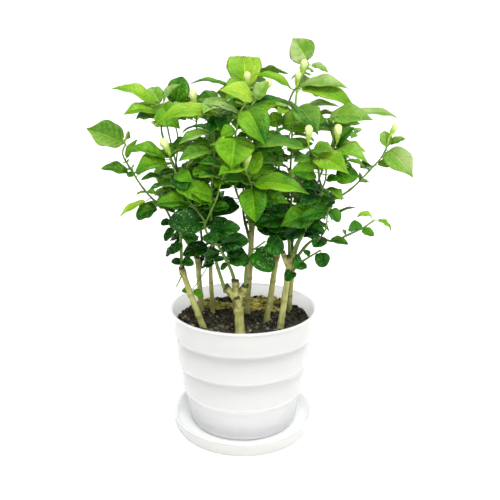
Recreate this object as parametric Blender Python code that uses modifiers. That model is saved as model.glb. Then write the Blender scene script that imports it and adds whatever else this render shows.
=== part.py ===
"""A potted arabian jasmine: eight woody canes in a white plastic pot on its saucer, with leafy shoots and buds.

Metres, +Z up, +X to the right seen from the front, +Y to the back. The origin is on the pot's axis at the
saucer's underside. Places on the plant are written in millimetres and turned into metres by at().
"""

import math
import random

import bmesh
import bpy
from mathutils import Vector
from mathutils.bvhtree import BVHTree

MM = 0.001
SEAT_GAP = 0.3 * MM

# Saucer and pot, turned
TURN_STEPS = 24
SAUCER_RIM_RADIUS = 74 * MM
SAUCER_FOOT_RADIUS = 69 * MM
SAUCER_HEIGHT = 17.5 * MM
SAUCER_FLOOR = 8 * MM
SAUCER_WALL = 2 * MM
POT_RIM_RADIUS = 75 * MM
POT_HEIGHT = 133 * MM
POT_FOOT_RADIUS = 54 * MM
POT_WALL = 2.2 * MM
POT_FLOOR = 3 * MM
BAND_EDGES = (107.5 * MM, 76.5 * MM, 45.5 * MM)
BAND_STEP = 1.4 * MM
RIM_LIP = 3.2 * MM
DRAIN_HOLES = 5
DRAIN_RADIUS = 3 * MM
DRAIN_CIRCLE = 34 * MM

# Soil
SOIL_TOP = 118 * MM
SOIL_LUMPS = 1.6 * MM
SOIL_STEPS = 16
SOIL_RINGS = (22, 43, 61)
CANE_DEPTH = 24 * MM

# Plant
CANE_SIDES = 6
CANE_TAPER = 0.84
CANE_NODE_SWELL = 1.14
CANE_NODE_SPACING = 30 * MM
STEM_BASE_RADIUS = 1.4 * MM
STEM_TIP_RADIUS = 0.8 * MM
TWIG_RADIUS = 0.75 * MM
BLADE_HALF_THICKNESS = 0.55 * MM
PETIOLE_HALF_WIDTH = 0.7 * MM
PETIOLE = 5
SHORTEST_PETIOLE = 3
ARCH = 0.1
FOLD = math.radians(14)
LEAF_CLEARANCE = 0.7 * MM
LONG_LEAF = 48 * MM
STEM_SPACING = 28 * MM
STEM_SIDES = 4
ROOT_FREE = 4 * MM
BUD_LENGTH = 14 * MM
BUD_RADIUS = 4.1 * MM
CALYX_LENGTH = 5 * MM
CALYX_RADII = (0.9 * MM, 2.2 * MM)
BUD_STEPS = 6

# How wide a blade is from its base to its tip: the place along it and the share of its half width
SHORT_BLADE = ((0.24, 1.06), (0.62, 0.92))
LONG_BLADE = ((0.16, 0.84), (0.42, 1.12), (0.74, 0.78))

# Canes: radius, then the route from the soil up to the pruned top, then any pruned stubs
CANES = {
    "cane_1": (3.3, [(-40, -24, 118), (-47, -26, 140), (-54, -28, 162), (-60, -30, 184)], []),
    "cane_2": (3.0, [(-45, 25, 118), (-46, 23, 140), (-47, 21, 160), (-48, 20, 180)], []),
    "cane_3": (2.4, [(-32, 15, 118), (-33, 14, 140), (-34, 13, 162), (-33, 12, 182)], []),
    "cane_4": (
        5.0,
        [(-3, -40, 118), (-4, -39, 132), (-5, -38, 146), (-6, -38, 157)],
        [
            [(-6, -38, 152), (-12, -38, 160), (-17, -38, 167)],
            [(-6, -38, 152), (-7, -38, 164), (-8, -38, 174)],
            [(-6, -38, 152), (-1, -39, 161), (2, -40, 169)],
        ],
    ),
    "cane_5": (3.2, [(4, 15, 118), (5, 15, 142), (7, 15, 168), (8, 15, 194), (9, 15, 217)], []),
    "cane_6": (3.1, [(24, -3, 118), (28, -2, 142), (31, -1, 166), (35, 0, 192)], []),
    "cane_7": (
        3.3,
        [(37, -27, 118), (40, -27, 144), (43, -26, 170), (45, -25, 194)],
        [[(43, -26, 184), (40, -26, 192), (38, -26, 199)]],
    ),
    "cane_8": (3.0, [(49, 25, 118), (50, 24, 140), (52, 23, 162), (53, 22, 185)], []),
}

# Shoots. "stems": routes in millimetres, the first one from inside its cane. "leaves": stem, place along it
# from 0 to 1, tip, width, face (the lean of its upper side to the front, in degrees), then, where they differ
# from PETIOLE and ARCH, the petiole and the arch. "buds": stem, place, foot, top. "fill": how many leaf pairs
# the growing rule tries on each stem.
SHOOTS = {
    "shoot_left": {
        "cane": "cane_2",
        "stems": [
            [(-48, 20, 172), (-51, 20, 182), (-56, 20, 192), (-64, 19, 204), (-71, 18, 213), (-79, 14, 232),
             (-91, 10, 243), (-101, 8, 256), (-110, 6, 272), (-117, 4, 286), (-117, 3, 293), (-114, 3, 298)],
        ],
        "leaves": [
            (0, 1.0, (-151, 0, 314), 33, 46, 2, 0.03),
            (0, 0.9, (-103, 6, 303), 9, 35, 3),
            (0, 0.8, (-139, 0, 275), 18, 28),
            (0, 0.59, (-125, 2, 226), 14, 18, 7, 0.02),
            (0, 0.51, (-107, 6, 223), 22, 34, 5),
            (0, 0.36, (-84, 12, 216), 9, 50, 2),
            (0, 0.32, (-80, 10, 199), 10, 50, 3),
        ],
        "buds": [],
        "fill": 3,
    },
    "shoot_front": {
        "cane": "cane_4",
        "stems": [
            [(-8, -38, 168), (-10, -39, 179), (-15, -41, 192), (-24, -45, 210), (-34, -50, 224), (-36, -52, 236),
             (-43, -52, 245), (-50, -50, 255), (-55, -48, 264), (-61, -46, 278), (-65, -45, 288), (-67, -45, 294)],
            [(-35, -51, 232), (-28, -56, 248), (-23, -59, 260), (-20, -59, 272), (-13, -60, 290), (-8, -62, 308),
             (-5, -62, 323), (-2, -60, 335), (2, -58, 339)],
            [(-5, -62, 323), (2, -58, 332), (9, -55, 341), (14, -53, 346)],
        ],
        "leaves": [
            (0, 0.97, (-106, -52, 298), 21, 25, 5, 0.16),
            (0, 0.93, (-95, -64, 283), 23, 35, 5, 0.2),
            (0, 0.88, (-92, -54, 273), 10, 30, 15),
            (0, 0.78, (-84, -62, 266), 13, 8),
            (0, 0.68, (-78, -58, 252), 18, 45),
            (0, 0.52, (-67, -64, 236), 27, 65),
            (0, 0.44, (-3, -62, 231), 19, 55),
            (0, 0.33, (5, -56, 217), 21, 60),
            (0, 0.22, (5, -48, 196), 18, 50),
            (0, 0.21, (-28, -44, 195), 6, 50, 2),
            (0, 0.18, (-21, -46, 186), 6, 60, 2),
            (1, 0.78, (-10, -84, 288), 36, 75, 3),
            (1, 1.0, (19, -90, 308), 29, 75),
            (2, 0.9, (-19, -70, 353), 22, 50),
            (1, 1.0, (50, -42, 332), 18, 16, 6, 0.16),
            (1, 0.93, (-33, -52, 340), 12, 18),
            (2, 0.8, (20, -44, 357), 14, 50, 3),
            (1, 0.25, (-46, -74, 267), 22, 50),
            (1, 0.42, (-38, -80, 281), 14, 30),
            (1, 0.5, (-37, -74, 292), 16, 30),
            (1, 0.42, (1, -50, 272), 13, 45),
            (0, 0.46, (-24, -66, 219), 17, 65),
        ],
        "buds": [(0, 1.0, (-67, -46, 297), (-73, -48, 310)), (2, 1.0, (17, -52, 351), (24, -52, 361))],
        "fill": 4,
    },
    "shoot_front_branch": {
        "cane": "cane_4",
        "stems": [
            [(-17, -38, 161), (-21, -38, 174), (-27, -36, 196), (-30, -36, 226), (-30, -38, 256), (-27, -44, 282),
             (-26, -44, 299), (-26, -42, 315), (-21, -38, 331)],
        ],
        "leaves": [
            (0, 0.81, (-57, -64, 292), 20, 40),
            (0, 0.9, (-57, -58, 306), 15, 28),
            (0, 0.91, (-58, -34, 312), 13, 5, 5, 0.16),
            (0, 0.84, (-66, -38, 302), 13, 22),
            (0, 1.0, (-30, -52, 316), 12, 60),
            (0, 1.0, (-19, -58, 316), 12, 60),
            (0, 1.0, (-5, -48, 331), 12, 40),
            (0, 1.0, (-79, -48, 321), 19, 40, 5, 0.2),
        ],
        "buds": [],
        "fill": 4,
    },
    "shoot_front_right": {
        "cane": "cane_4",
        "stems": [
            [(2, -40, 163), (2, -41, 176), (3, -43, 190), (6, -46, 203), (13, -48, 209), (20, -50, 215)],
        ],
        "leaves": [
            (0, 1.0, (36, -60, 208), 20, 60, 2),
            (0, 0.74, (27, -64, 191), 24, 70, 2),
        ],
        "buds": [],
        "fill": 1,
    },
    "shoot_centre": {
        "cane": "cane_5",
        "stems": [
            [(9, 15, 208), (10, 4, 224), (10, -12, 240), (9, -32, 254), (8, -50, 266), (5, -59, 276), (2, -64, 284)],
        ],
        "leaves": [
            (0, 0.83, (11, -76, 240), 28, 80),
            (0, 0.86, (57, -80, 267), 21, 45),
            (0, 0.9, (15, -48, 298), 15, 60),
        ],
        "buds": [(0, 1.0, (2, -66, 287), (4, -67, 301))],
        "fill": 4,
    },
    "shoot_centre_left": {
        "cane": "cane_5",
        "stems": [
            [(9, 15, 212), (4, 10, 226), (0, 4, 236), (-4, -4, 246), (-7, -12, 256), (-9, -18, 268), (-8, -20, 282)],
        ],
        "leaves": [
            (0, 0.46, (-32, -26, 234), 20, 55),
            (0, 1.0, (8, -30, 302), 20, 40),
            (0, 1.0, (-24, -36, 300), 18, 40),
        ],
        "buds": [],
        "fill": 4,
    },
    "shoot_top_left": {
        "cane": "cane_1",
        "stems": [
            [(-60, -30, 176), (-60, -29, 188), (-60, -28, 202), (-60, -26, 216), (-58, -20, 236), (-60, -17, 254),
             (-65, -14, 276), (-73, -12, 298), (-77, -12, 312), (-77, -10, 324), (-77, -10, 336)],
            [(-65, -14, 276), (-63, -8, 294), (-63, -4, 309), (-67, -2, 323)],
        ],
        "leaves": [
            (0, 1.0, (-124, -10, 352), 18, 34, 6, 0.14),
            (0, 1.0, (-88, 6, 352), 16, 40),
            (0, 1.0, (-58, -24, 356), 12, 40),
            (1, 1.0, (-58, 8, 362), 24, 75, 14),
            (0, 0.96, (-110, -24, 329), 18, 32, 5, 0.16),
            (0, 0.93, (-103, 2, 323), 17, 35),
            (0, 0.08, (-69, -36, 191), 8, 60, 2),
            (0, 0.09, (-47, -38, 189), 10, 60, 2),
            (0, 0.2, (-65, -36, 200), 7, 60, 2),
            (0, 0.24, (-43, -34, 213), 11, 60, 2),
        ],
        "buds": [],
        "fill": 5,
    },
    "shoot_bud_left": {
        "cane": "cane_3",
        "stems": [
            [(-33, 12, 174), (-33, 12, 186), (-32, 12, 202), (-34, 12, 222), (-37, 10, 242), (-41, 6, 263),
             (-43, 0, 283), (-44, -8, 304), (-44, -12, 318), (-44, -14, 328), (-45, -16, 334)],
        ],
        "leaves": [
            (0, 0.8, (-66, -24, 300), 14, 40),
            (0, 0.97, (-12, -8, 340), 18, 32),
            (0, 0.12, (-61, 0, 187), 18, 50),
        ],
        "buds": [(0, 1.0, (-45, -17, 338), (-47, -17, 351))],
        "fill": 6,
    },
    "shoot_bud_top": {
        "cane": "cane_5",
        "stems": [
            [(9, 15, 209), (10, 20, 224), (9, 22, 244), (7, 20, 268), (6, 15, 292), (5, 6, 320), (4, -3, 340),
             (3, -8, 350)],
        ],
        "leaves": [
            (0, 1.0, (0, 24, 382), 38, 60),
            (0, 1.0, (-50, -6, 357), 14, 14, 16, 0.1),
        ],
        "buds": [(0, 1.0, (3, -13, 355), (4, -14, 367))],
        "fill": 5,
    },
    "shoot_top_right": {
        "cane": "cane_6",
        "stems": [
            [(35, 0, 184), (36, 2, 198), (38, 5, 218), (38, 6, 240), (36, 8, 264), (34, 8, 290), (33, 8, 314),
             (36, 8, 326), (43, 6, 337), (47, 4, 347), (51, 3, 352)],
            [(34, 8, 290), (42, 4, 302), (48, 2, 317), (50, 2, 336), (51, 3, 350)],
            [(51, 3, 352), (54, 4, 358), (58, 5, 366), (62, 6, 373)],
        ],
        "leaves": [
            (2, 1.0, (47, -4, 395), 27, 70, 2),
            (2, 0.98, (80, 2, 366), 9, 45, 3),
            (0, 0.98, (10, -18, 364), 16, 35),
            (2, 0.1, (99, -6, 352), 18, 36),
            (0, 1.0, (106, -24, 327), 20, 36, 5, 0.17),
            (1, 0.78, (67, -46, 312), 27, 50),
            (1, 0.44, (31, -6, 311), 6, 20),
        ],
        "buds": [(2, 0.3, (55, -3, 366), (57, -5, 378)), (2, 0.05, (50, -9, 356), (51, -11, 367))],
        "fill": 6,
    },
    "shoot_right": {
        "cane": "cane_7",
        "stems": [
            [(45, -25, 186), (48, -27, 198), (56, -30, 216), (63, -32, 230), (70, -34, 246), (73, -36, 261),
             (70, -38, 272), (68, -40, 287), (63, -44, 294), (59, -48, 301)],
            [(73, -36, 261), (76, -36, 270), (77, -34, 284), (80, -32, 292), (84, -30, 300)],
            [(80, -32, 292), (86, -22, 303), (94, -10, 316), (100, -5, 327)],
            [(84, -30, 300), (82, -24, 311), (77, -18, 324)],
        ],
        "leaves": [
            (0, 1.0, (6, -60, 302), 19, 30, 5, 0.12),
            (0, 0.97, (78, -64, 301), 16, 45, 2),
            (0, 0.92, (91, -80, 283), 25, 55),
            (0, 0.78, (42, -56, 281), 21, 60),
            (0, 0.88, (43, -48, 290), 12, 30),
            (1, 0.25, (88, -48, 273), 9, 60, 2),
            (1, 0.35, (105, -44, 275), 19, 60, 9),
            (3, 1.0, (118, -38, 325), 23, 45, 2, 0.14),
            (2, 0.98, (153, -2, 324), 15, 30, 3, 0.1),
            (1, 0.97, (99, -42, 319), 13, 50, 3),
            (3, 0.5, (71, -34, 320), 12, 40, 2),
            (1, 0.9, (112, -54, 288), 18, 40, 3, 0.2),
            (0, 0.36, (39, -38, 216), 18, 55),
            (0, 0.34, (76, -40, 220), 14, 45, 3),
            (0, 0.66, (54, -58, 268), 18, 50),
            (0, 0.62, (52, -56, 252), 18, 50),
        ],
        "buds": [(0, 1.0, (58, -50, 309), (58, -51, 322)), (1, 1.0, (85, -40, 308), (85, -43, 322))],
        "fill": 4,
    },
    "shoot_far_right": {
        "cane": "cane_8",
        "stems": [
            [(53, 22, 176), (56, 20, 190), (62, 16, 206), (69, 10, 221), (76, 4, 235), (84, 0, 242), (91, -4, 246),
             (103, -8, 255), (113, -12, 266), (121, -14, 276), (130, -16, 287), (134, -18, 296)],
        ],
        "leaves": [
            (0, 0.88, (153, -6, 277), 13, 35, 3),
            (0, 1.0, (154, -50, 275), 26, 65, 3),
            (0, 1.0, (135, -4, 312), 13, 50, 2),
            (0, 1.0, (157, -18, 307), 9, 15, 3),
            (0, 0.84, (97, -22, 286), 11, 25, 6),
        ],
        "buds": [(0, 1.0, (138, -20, 311), (142, -20, 320))],
        "fill": 3,
    },
    "shoot_low_right": {
        "cane": "cane_7",
        "stems": [
            [(45, -25, 180), (53, -22, 192), (64, -22, 206), (74, -28, 213), (80, -39, 213), (86, -44, 214),
             (95, -46, 219), (104, -48, 224), (112, -50, 229), (120, -50, 235)],
            [(74, -28, 213), (78, -37, 224), (78, -42, 236), (80, -44, 246)],
        ],
        "leaves": [
            (1, 1.0, (88, -52, 234), 12, 60, 2),
            (1, 0.9, (51, -54, 238), 17, 50, 3),
            (0, 0.44, (65, -54, 211), 16, 65, 2),
            (0, 0.8, (101, -56, 237), 14, 80, 2),
            (0, 0.7, (91, -54, 227), 6, 50, 2),
            (0, 0.56, (99, -56, 215), 10, 40, 2),
            (0, 0.86, (119, -58, 224), 9, 50, 2),
            (0, 1.0, (104, -50, 238), 10, 16, 2, 0.3),
            (0, 1.0, (137, -50, 224), 10, 18, 2, 0.2),
            (1, 0.6, (104, -44, 246), 11, 2, 4),
        ],
        "buds": [],
        "fill": 0,
    },
    "shoot_low_mid": {
        "cane": "cane_7",
        "stems": [
            [(43, -26, 172), (48, -30, 180), (56, -34, 190), (63, -37, 196), (68, -39, 200), (73, -41, 204)],
        ],
        "leaves": [
            (0, 0.55, (48, -50, 190), 18, 65, 2),
            (0, 0.74, (57, -40, 203), 7, 50, 2),
            (0, 0.22, (41, -44, 174), 13, 50, 2),
            (0, 1.0, (75, -48, 189), 15, 80, 2),
        ],
        "buds": [],
        "fill": 0,
    },
    "shoot_mid_right": {
        "cane": "cane_7",
        "stems": [
            [(45, -25, 187), (45, -22, 200), (44, -20, 214), (44, -20, 228), (46, -18, 244), (48, -12, 262),
             (54, -8, 282)],
        ],
        "leaves": [
            (0, 0.44, (14, -34, 229), 20, 55, 5),
            (0, 0.52, (26, -38, 240), 20, 55, 3),
        ],
        "buds": [],
        "fill": 4,
    },
    "shoot_back_left": {
        "cane": "cane_2",
        "stems": [[(-48, 20, 174), (-52, 30, 190), (-60, 48, 226), (-70, 64, 262), (-80, 76, 300), (-84, 82, 326)]],
        "leaves": [],
        "buds": [],
        "fill": 6,
    },
    "shoot_back_mid_left": {
        "cane": "cane_3",
        "stems": [[(-33, 12, 177), (-32, 24, 192), (-32, 44, 230), (-30, 62, 272), (-32, 74, 306), (-34, 78, 328)]],
        "leaves": [],
        "buds": [(0, 1.0, (-35, 82, 332), (-38, 86, 344))],
        "fill": 6,
    },
    "shoot_back_mid": {
        "cane": "cane_5",
        "stems": [[(9, 15, 205), (10, 30, 222), (10, 50, 256), (8, 66, 292), (10, 76, 328), (12, 82, 358)]],
        "leaves": [],
        "buds": [(0, 1.0, (12, 86, 362), (12, 90, 375))],
        "fill": 6,
    },
    "shoot_back_mid_right": {
        "cane": "cane_6",
        "stems": [[(33, -1, 176), (37, 12, 192), (46, 34, 236), (50, 52, 272), (52, 64, 310), (56, 72, 342)]],
        "leaves": [],
        "buds": [(0, 1.0, (57, 76, 346), (60, 80, 358))],
        "fill": 6,
    },
    "shoot_back_right": {
        "cane": "cane_8",
        "stems": [[(53, 22, 178), (60, 34, 196), (72, 50, 230), (84, 62, 262), (94, 70, 288), (100, 74, 308)]],
        "leaves": [],
        "buds": [(0, 1.0, (101, 78, 312), (104, 82, 323))],
        "fill": 6,
    },
    "shoot_back_low_left": {
        "cane": "cane_2",
        "stems": [[(-47, 21, 160), (-44, 32, 176), (-46, 54, 198), (-54, 76, 222), (-62, 96, 240), (-68, 108, 262)]],
        "leaves": [],
        "buds": [],
        "fill": 5,
    },
    "shoot_back_low_mid": {
        "cane": "cane_5",
        "stems": [[(8, 15, 196), (4, 28, 206), (0, 52, 220), (0, 76, 240), (2, 96, 264), (4, 106, 292)]],
        "leaves": [],
        "buds": [],
        "fill": 5,
    },
    "shoot_back_low_right": {
        "cane": "cane_8",
        "stems": [[(53, 22, 174), (52, 34, 186), (54, 58, 202), (60, 80, 222), (68, 98, 246), (72, 108, 270)]],
        "leaves": [],
        "buds": [],
        "fill": 5,
    },
}

# Leaf pairs that the rule adds: seed, length low and high in the plant, how far the upper side leans outward,
# how the leaf rises from its root, and the space it keeps to
FILL_SEED = 7
FILL_LOW = (20, 28)
FILL_HIGH = (36, 50)
FILL_TRIES = 14
FILL_FROM = 0.3
FILL_LEAN = (math.radians(15), math.radians(62))
FILL_RISE = (-0.55, 0.25)
OUTWARD_FROM = Vector((0, 0.035, 0))
PLANT_BOX = (Vector((-0.118, -0.090, 0.165)), Vector((0.118, 0.135, 0.376)))
# Seen from the front at eye height, daylight shows through these gaps: x, z and radius in millimetres
EYE = Vector((0, -0.640, 0.376))
OPEN_GAPS = (
    (-70, 308, 9), (-47, 312, 9), (-64, 282, 7), (-10, 311, 6), (30, 319, 8), (41, 312, 7), (56, 297, 8),
    (38, 296, 6), (52, 277, 8), (69, 266, 8), (93, 264, 10), (-8, 249, 9), (-12, 222, 13), (-2, 232, 9),
    (-80, 222, 9), (-38, 207, 6), (17, 204, 8), (98, 226, 9), (47, 216, 6), (55, 238, 5), (45, 196, 6),
    (78, 301, 7), (-92, 290, 12), (0, 190, 9), (-20, 172, 8), (22, 178, 8), (62, 180, 8),
    (52, 343, 7), (-121, 261, 9), (-122, 286, 7), (128, 296, 8), (130, 251, 10), (107, 249, 7), (107, 238, 6),
    (-36, 350, 6), (-20, 348, 6), (30, 348, 6), (39, 346, 5), (-99, 311, 8), (-88, 307, 6), (-95, 262, 8),
)

CANE_COLOUR = (0.36, 0.31, 0.13)
LEAF_COLOUR = (0.10, 0.24, 0.03)
BUD_COLOUR = (0.80, 0.83, 0.52)
POT_COLOUR = (0.86, 0.87, 0.88)
SOIL_COLOUR = (0.035, 0.024, 0.017)


def at(point):
    """A place written in millimetres, as a vector in metres."""
    return Vector(point) * MM


def clear_scene():
    for obj in list(bpy.data.objects):
        bpy.data.objects.remove(obj, do_unlink=True)


def new_collection(name):
    collection = bpy.data.collections.new(name)
    bpy.context.scene.collection.children.link(collection)
    return collection


def principled(name, colour, roughness):
    material = bpy.data.materials.new(name)
    material.use_nodes = True
    shader = material.node_tree.nodes["Principled BSDF"]
    shader.inputs["Base Color"].default_value = (*colour, 1)
    shader.inputs["Roughness"].default_value = roughness
    shader.inputs["Metallic"].default_value = 0.0
    return material


def add_object(name, mesh, collection):
    obj = bpy.data.objects.new(name, mesh)
    collection.objects.link(obj)
    return obj


def finish(obj, colour, roughness):
    obj.data.materials.clear()
    obj.data.materials.append(principled(obj.name, colour, roughness))
    obj.data.shade_smooth()
    obj.data.set_sharp_from_angle(angle=math.radians(35))


def evaluated_mesh(obj):
    graph = bpy.context.evaluated_depsgraph_get()
    return bpy.data.meshes.new_from_object(obj.evaluated_get(graph))


def apply_modifiers(obj):
    mesh = evaluated_mesh(obj)
    obj.modifiers.clear()
    obj.data = mesh


def boolean(obj, other, operation):
    """One Boolean with an object or a whole collection, applied."""
    modifier = obj.modifiers.new(operation.lower(), "BOOLEAN")
    modifier.operation = operation
    modifier.solver = "MANIFOLD"
    if isinstance(other, bpy.types.Collection):
        modifier.operand_type = "COLLECTION"
        modifier.collection = other
    else:
        modifier.object = other
    apply_modifiers(obj)


def turned(name, profile, steps, collection):
    """A solid turned about Z from (radius, height) points that run down its outer side."""
    mesh = bpy.data.meshes.new(name)
    points = [(radius, 0, height) for radius, height in profile]
    mesh.from_pydata(points, [(i, i + 1) for i in range(len(points) - 1)], [])
    obj = add_object(name, mesh, collection)
    screw = obj.modifiers.new("turn", "SCREW")
    screw.steps = steps
    screw.render_steps = steps
    screw.use_merge_vertices = True
    screw.merge_threshold = 0.00005
    apply_modifiers(obj)
    return obj


def tube(name, points, radii, collection, sides):
    """A mesh tube along a route, from a curve with a radius at each point and filled caps."""
    curve = bpy.data.curves.new(name, "CURVE")
    curve.dimensions = "3D"
    curve.bevel_depth = 1.0
    curve.bevel_resolution = sides // 2 - 2
    curve.use_fill_caps = True
    spline = curve.splines.new("POLY")
    spline.points.add(len(points) - 1)
    for spot, point, radius in zip(spline.points, points, radii):
        spot.co = (*point, 1)
        spot.radius = radius
    guide = add_object(name, curve, collection)
    mesh = evaluated_mesh(guide)
    bpy.data.objects.remove(guide, do_unlink=True)
    shape = bmesh.new()
    shape.from_mesh(mesh)
    bmesh.ops.remove_doubles(shape, verts=shape.verts, dist=0.00001)
    bmesh.ops.recalc_face_normals(shape, faces=shape.faces)
    shape.to_mesh(mesh)
    shape.free()
    return add_object(name, mesh, collection)


def route_length(points):
    return sum((b - a).length for a, b in zip(points, points[1:]))


def along(points, share):
    """The point, and the direction, at a share of a route's length."""
    left = share * route_length(points)
    for a, b in zip(points, points[1:]):
        step = (b - a).length
        if left <= step:
            return a.lerp(b, left / step), (b - a).normalized()
        left -= step
    return points[-1].copy(), (points[-1] - points[-2]).normalized()


def smooth_route(points, spacing):
    """Points at an even spacing on a smooth curve through a route's own points."""
    ends = [points[0] * 2 - points[1], *points, points[-1] * 2 - points[-2]]
    dense = []
    for p0, p1, p2, p3 in zip(ends, ends[1:], ends[2:], ends[3:]):
        for i in range(8):
            t = i / 8
            dense.append(
                0.5 * (p1 * 2 + (p2 - p0) * t + (p0 * 2 - p1 * 5 + p2 * 4 - p3) * t**2
                       + (p1 * 3 - p0 - p2 * 3 + p3) * t**3)
            )
    dense.append(points[-1])
    count = max(2, round(route_length(dense) / spacing))
    return [along(dense, i / count)[0] for i in range(count + 1)]


def build_saucer(collection):
    rim, wall = SAUCER_RIM_RADIUS, SAUCER_WALL
    foot, floor, top = SAUCER_FOOT_RADIUS, SAUCER_FLOOR, SAUCER_HEIGHT
    profile = [
        (0, floor), (foot - 3 * MM, floor), (foot - 0.4 * MM, floor + 1 * MM),
        (rim - wall - 1 * MM, top - 2.2 * MM), (rim - wall + 0.3 * MM, top - 0.4 * MM),
        (rim - 1 * MM, top), (rim, top - 0.8 * MM), (rim - 0.2 * MM, top - 3 * MM),
        (foot + 1.9 * MM, 1.6 * MM), (foot + 1.2 * MM, 0.4 * MM), (foot, 0), (0, 0),
    ]
    finish(turned("saucer", profile, TURN_STEPS, collection), POT_COLOUR, 0.25)


def pot_wall():
    """The pot's outer side from just under the rim lip to the foot: each band flares a little and steps in."""
    edges = (POT_HEIGHT - RIM_LIP, *BAND_EDGES, SAUCER_FLOOR + SEAT_GAP + 3 * MM)
    radii = (POT_RIM_RADIUS - 1.5 * MM, 71.9 * MM, 68.4 * MM, 63.6 * MM, POT_FOOT_RADIUS + 2.2 * MM)
    points = []
    for i in range(4):
        top, low = edges[i], edges[i + 1]
        start = radii[i] - (BAND_STEP if i else 0)
        waist = start + (radii[i + 1] - start) * 0.72
        points.append((start, top - (1.6 * MM if i else 0)))
        points.append((waist, top + (low - top) * 0.52))
        points.append((radii[i + 1], low + 0.6 * MM))
    return points


def build_pot(collection, cutters):
    base = SAUCER_FLOOR + SEAT_GAP
    rim, top = POT_RIM_RADIUS, POT_HEIGHT
    inner_foot = POT_FOOT_RADIUS - 1 * MM
    inside = [
        (0, base + POT_FLOOR), (inner_foot, base + POT_FLOOR), (inner_foot + 2.4 * MM, base + POT_FLOOR + 3 * MM),
        (58.9 * MM, 40 * MM), (64.2 * MM, 72 * MM), (68.3 * MM, 103 * MM), (rim - POT_WALL - 1.2 * MM, top - 6 * MM),
    ]
    lip = [(rim - POT_WALL, top - 0.6 * MM), (rim - 1.1 * MM, top), (rim, top - 0.7 * MM), (rim, top - RIM_LIP + 0.6 * MM)]
    profile = inside + lip + pot_wall() + [(POT_FOOT_RADIUS, base + 0.4 * MM), (POT_FOOT_RADIUS - 1 * MM, base), (0, base)]
    pot = turned("pot", profile, TURN_STEPS, collection)
    for i in range(DRAIN_HOLES):
        angle = math.tau * i / DRAIN_HOLES
        place = (DRAIN_CIRCLE * math.cos(angle), DRAIN_CIRCLE * math.sin(angle), base + POT_FLOOR / 2)
        bpy.ops.mesh.primitive_cylinder_add(vertices=8, radius=DRAIN_RADIUS, depth=3 * POT_FLOOR, location=place)
        hole = bpy.context.object
        hole.name = f"drain_{i + 1}"
        move_to(hole, cutters)
        boolean(pot, hole, "DIFFERENCE")
    finish(pot, POT_COLOUR, 0.25)


def move_to(obj, collection):
    for other in list(obj.users_collection):
        other.objects.unlink(obj)
    collection.objects.link(obj)
    obj.hide_render = True
    obj.display_type = "WIRE"


def soil_height(x, y):
    """The soil's uneven top: soft humps, a little higher in the middle."""
    lumps = math.sin(x * 160 + 1.1) * math.cos(y * 130) + 0.6 * math.sin(x * 310 - y * 270) + 0.4 * math.cos(y * 420)
    return SOIL_TOP + SOIL_LUMPS * lumps


def build_soil(collection):
    base = SAUCER_FLOOR + 2 * SEAT_GAP + POT_FLOOR
    edge = 0.9 * MM
    side = [
        (68.7 * MM - edge + 1.2 * MM, SOIL_TOP), (68.3 * MM - edge, 103 * MM), (64.2 * MM - edge, 72 * MM),
        (58.9 * MM - edge, 40 * MM), (POT_FOOT_RADIUS + 0.2 * MM, base + 4 * MM), (POT_FOOT_RADIUS - 2.4 * MM, base),
        (0, base),
    ]
    rings = [(0, SOIL_TOP)] + [(radius * MM, SOIL_TOP) for radius in SOIL_RINGS]
    soil = turned("soil", rings + side, SOIL_STEPS, collection)
    for vertex in soil.data.vertices:
        if vertex.co.z > SOIL_TOP - 0.1 * MM:
            vertex.co.z = soil_height(vertex.co.x, vertex.co.y)
    return soil


def cane_route(name):
    """A cane's route with points at its nodes, and the radius at each, swollen at the nodes."""
    radius, points, _ = CANES[name]
    points = [at(p) for p in points]
    foot = points[0] + (points[0] - points[1]).normalized() * CANE_DEPTH
    route = smooth_route([foot, *points], CANE_NODE_SPACING / 2)
    last = len(route) - 1
    radii = []
    for i in range(len(route)):
        taper = 1 + (CANE_TAPER - 1) * i / last
        radii.append(radius * MM * taper * (CANE_NODE_SWELL if i % 2 and i < last else 1))
    return route, radii


def stretched(points, extra):
    """A route that runs on by extra at both ends."""
    head = points[0] + (points[0] - points[1]).normalized() * extra
    tail = points[-1] + (points[-1] - points[-2]).normalized() * extra
    return [head, *points[1:-1], tail]


def cane_tubes(name, extra):
    """Points and radii of a cane and of its pruned stubs, each wider and longer by extra."""
    route, radii = cane_route(name)
    tubes = [(stretched(route, extra), [r + extra for r in radii])]
    for stub in CANES[name][2]:
        points = stretched([at(p) for p in stub], extra)
        tubes.append((points, [radii[-1] * (0.86 - 0.06 * k) + extra for k in range(len(points))]))
    return tubes


def cane_objects(name, extra, collection):
    tubes = cane_tubes(name, extra)
    return [tube(f"{name}_{i}" if i else name, *pair, collection, CANE_SIDES) for i, pair in enumerate(tubes)]


def union_of(pieces):
    """Joins pieces into the first one, which stays in its own collection."""
    body = pieces[0]
    if len(pieces) > 1:
        repeats = new_collection(body.name + "_repeats")
        for piece in pieces[1:]:
            for other in list(piece.users_collection):
                other.objects.unlink(piece)
            repeats.objects.link(piece)
        boolean(body, repeats, "UNION")
        for piece in pieces[1:]:
            bpy.data.objects.remove(piece, do_unlink=True)
        bpy.data.collections.remove(repeats)
    return body


def keep_largest(obj):
    """Drops the loose scraps that a cut leaves."""
    shape = bmesh.new()
    shape.from_mesh(obj.data)
    groups = []
    left = set(shape.verts)
    while left:
        group = {left.pop()}
        edge = list(group)
        while edge:
            for link in edge.pop().link_edges:
                for vertex in link.verts:
                    if vertex in left:
                        left.remove(vertex)
                        group.add(vertex)
                        edge.append(vertex)
        groups.append(group)
    largest = max(groups, key=len)
    bmesh.ops.delete(shape, geom=[v for v in shape.verts if v not in largest], context="VERTS")
    shape.to_mesh(obj.data)
    shape.free()


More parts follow.
